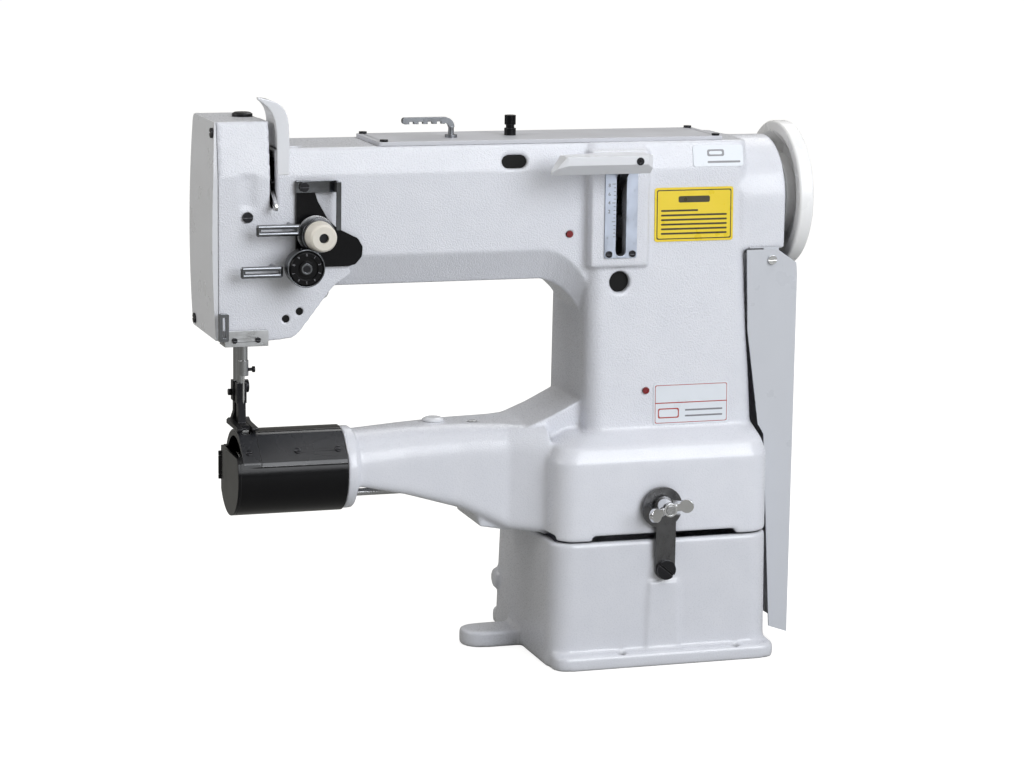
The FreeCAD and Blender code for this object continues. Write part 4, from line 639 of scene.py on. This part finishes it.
def labels():
    """Three plain plates: yellow with ruled lines, pale with thin red rules, and small white."""
    yellow, rating, small = [label_frame(solid) for solid in solids_of("label_plates")]
    grounds = ((yellow, "yellow_plate", "yellow"), (rating, "rating_plate", "label_white"),
               (small, "small_plate", "label_white"))
    pieces = []
    for (corner, up, width, height, thick), name, material in grounds:
        pieces.append(panel(name, corner, width, height, "label_plates", material, up, 2.2 * MM, thick))
    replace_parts(pieces[0], "label_plates")
    mark(yellow, "yellow_border", 0.025, 0.975, 0.04, 0.96, "ink")
    mark(yellow, "yellow_field", 0.037, 0.963, 0.06, 0.94, "yellow", 2)
    mark(yellow, "yellow_heading", 0.30, 0.70, 0.72, 0.84, "ink", 3)
    for i in range(6):
        mark(yellow, f"yellow_line_{i}", 0.08, 0.92 if i < 5 else 0.55, 0.13 + 0.085 * i, 0.165 + 0.085 * i,
             "ink", 3)
    mark(rating, "rating_border", 0.02, 0.98, 0.04, 0.96, "rule_red")
    mark(rating, "rating_field", 0.028, 0.972, 0.056, 0.944, "label_white", 2)
    mark(rating, "rating_rule", 0.02, 0.98, 0.515, 0.54, "rule_red", 3)
    mark(rating, "rating_patch", 0.06, 0.34, 0.16, 0.40, "rule_red", 3)
    mark(rating, "rating_patch_field", 0.075, 0.325, 0.19, 0.37, "label_white", 4)
    for i in range(2):
        mark(rating, f"rating_line_{i}", 0.42, 0.92, 0.18 + 0.14 * i, 0.22 + 0.14 * i, "rule_grey", 3)
    mark(small, "small_line", 0.28, 0.94, 0.16, 0.26, "rule_grey")
    mark(small, "small_heading", 0.28, 0.62, 0.48, 0.80, "rule_grey")
    mark(small, "small_heading_field", 0.32, 0.58, 0.56, 0.72, "label_white", 2)


def lever_fittings():
    """The black shank of the stitch lever, and the socket screw in its white handle, with a black disc in its
    socket as painted shade.
    """
    low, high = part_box("stitch_lever")
    lever = bpy.data.objects["stitch_lever_0"].data
    lever.materials.append(MATERIALS["black_satin"])
    for face in lever.polygons:
        if face.center.y > low.y + HANDLE_DEPTH:
            face.material_index = 1
    screw = Vector((high.x - 13 * MM, 0.0, high.z - 4.6 * MM))
    handle_front = low.y
    turned("handle_screw", ring_outline(handle_front - 0.6 * MM, handle_front + 0.5 * MM, 1.5 * MM, 3.3 * MM),
           screw, "stitch_lever", "black_oxide", 32)
    # A near-black disc just inside the screw's socket: painted shade for the recess.
    socket = ring_outline(handle_front - 0.1 * MM, handle_front + 0.4 * MM, 0.01 * MM, 1.6 * MM)
    turned("handle_socket", socket, screw, "stitch_lever", "rubber", 6)


dial_face()
knob_rings()
scale_marks()
labels()
lever_fittings()

for node, piece in NODES.items():
    if not piece.hide_render:
        piece.data.materials.clear()
        piece.data.materials.append(MATERIALS["guard_paint" if node == "belt_guard" else SLOT_OF[node]])


# Studio

def floor():
    """A plain pale floor: white to the camera, and a quieter grey to the object's own reflections."""
    mesh = bmesh.new()
    bmesh.ops.create_grid(mesh, x_segments=1, y_segments=1, size=FLOOR_HALF)
    piece = to_object(mesh, "floor")
    material, tree, shader = blank("floor_paint")
    seen = add(tree, "ShaderNodeLightPath").outputs["Is Camera Ray"]
    connect(tree, remap(tree, seen, 0.0, 1.0, 0.0, FLOOR_GLOW), shader, "Emission Strength")
    shader.inputs["Emission Color"].default_value = rgba((1.0, 1.0, 1.0))
    shader.inputs["Base Color"].default_value = rgba((FLOOR_TONE, FLOOR_TONE, FLOOR_TONE * 0.97))
    shader.inputs["Roughness"].default_value = 0.8
    shader.inputs["Specular IOR Level"].default_value = 0.1
    piece.data.materials.append(material)


def sky():
    """White to the camera; to the object, a dim warm room that brightens overhead."""
    world = bpy.data.worlds.new("studio")
    bpy.context.scene.world = world
    world.use_nodes = True
    tree = world.node_tree
    tree.nodes.clear()
    height = add(tree, "ShaderNodeSeparateXYZ",
                 {"Vector": add(tree, "ShaderNodeTexCoord").outputs["Generated"]}).outputs["Z"]
    room = remap(tree, height, -0.05, 0.9, 0.16, 0.55)
    seen = add(tree, "ShaderNodeLightPath").outputs["Is Camera Ray"]
    level = add(tree, "ShaderNodeMix", {"Factor": seen, "A": room, "B": 1.0}, data_type="FLOAT").outputs[0]
    color = mix_color(tree, seen, rgba((1.0, 0.975, 0.91)), rgba((1.0, 1.0, 1.0)))
    light = add(tree, "ShaderNodeBackground", {"Color": color, "Strength": level})
    out = add(tree, "ShaderNodeOutputWorld")
    tree.links.new(light.outputs["Background"], out.inputs["Surface"])


def lamp(name, place_at, aim, size, power, color):
    """A soft square lamp aimed at a point."""
    light = bpy.data.lights.new(name, "AREA")
    light.size = size
    light.energy = power
    light.color = color
    piece = bpy.data.objects.new(name, light)
    bpy.context.scene.collection.objects.link(piece)
    piece.location = place_at
    piece.rotation_euler = (Vector(aim) - Vector(place_at)).to_track_quat("-Z", "Y").to_euler()


def camera():
    forward = Vector((sin(CAMERA_AZIMUTH) * cos(CAMERA_DOWN), cos(CAMERA_AZIMUTH) * cos(CAMERA_DOWN),
                      -sin(CAMERA_DOWN)))
    right = Vector((cos(CAMERA_AZIMUTH), -sin(CAMERA_AZIMUTH), 0.0))
    up = right.cross(forward)
    turned_right = right * cos(CAMERA_ROLL) + up * sin(CAMERA_ROLL)
    turned_up = up * cos(CAMERA_ROLL) - right * sin(CAMERA_ROLL)
    data = bpy.data.cameras.new("camera")
    data.lens = CAMERA_LENS
    data.sensor_width = 36.0
    piece = bpy.data.objects.new("camera", data)
    bpy.context.scene.collection.objects.link(piece)
    turn = Matrix((turned_right, turned_up, -forward)).transposed().to_4x4()
    piece.matrix_world = Matrix.Translation(CAMERA_TARGET - forward * CAMERA_DISTANCE) @ turn
    bpy.context.scene.camera = piece


floor()
sky()
for name, settings in LAMPS.items():
    lamp(name, *settings)
camera()
bpy.context.scene.view_settings.view_transform = "Standard"
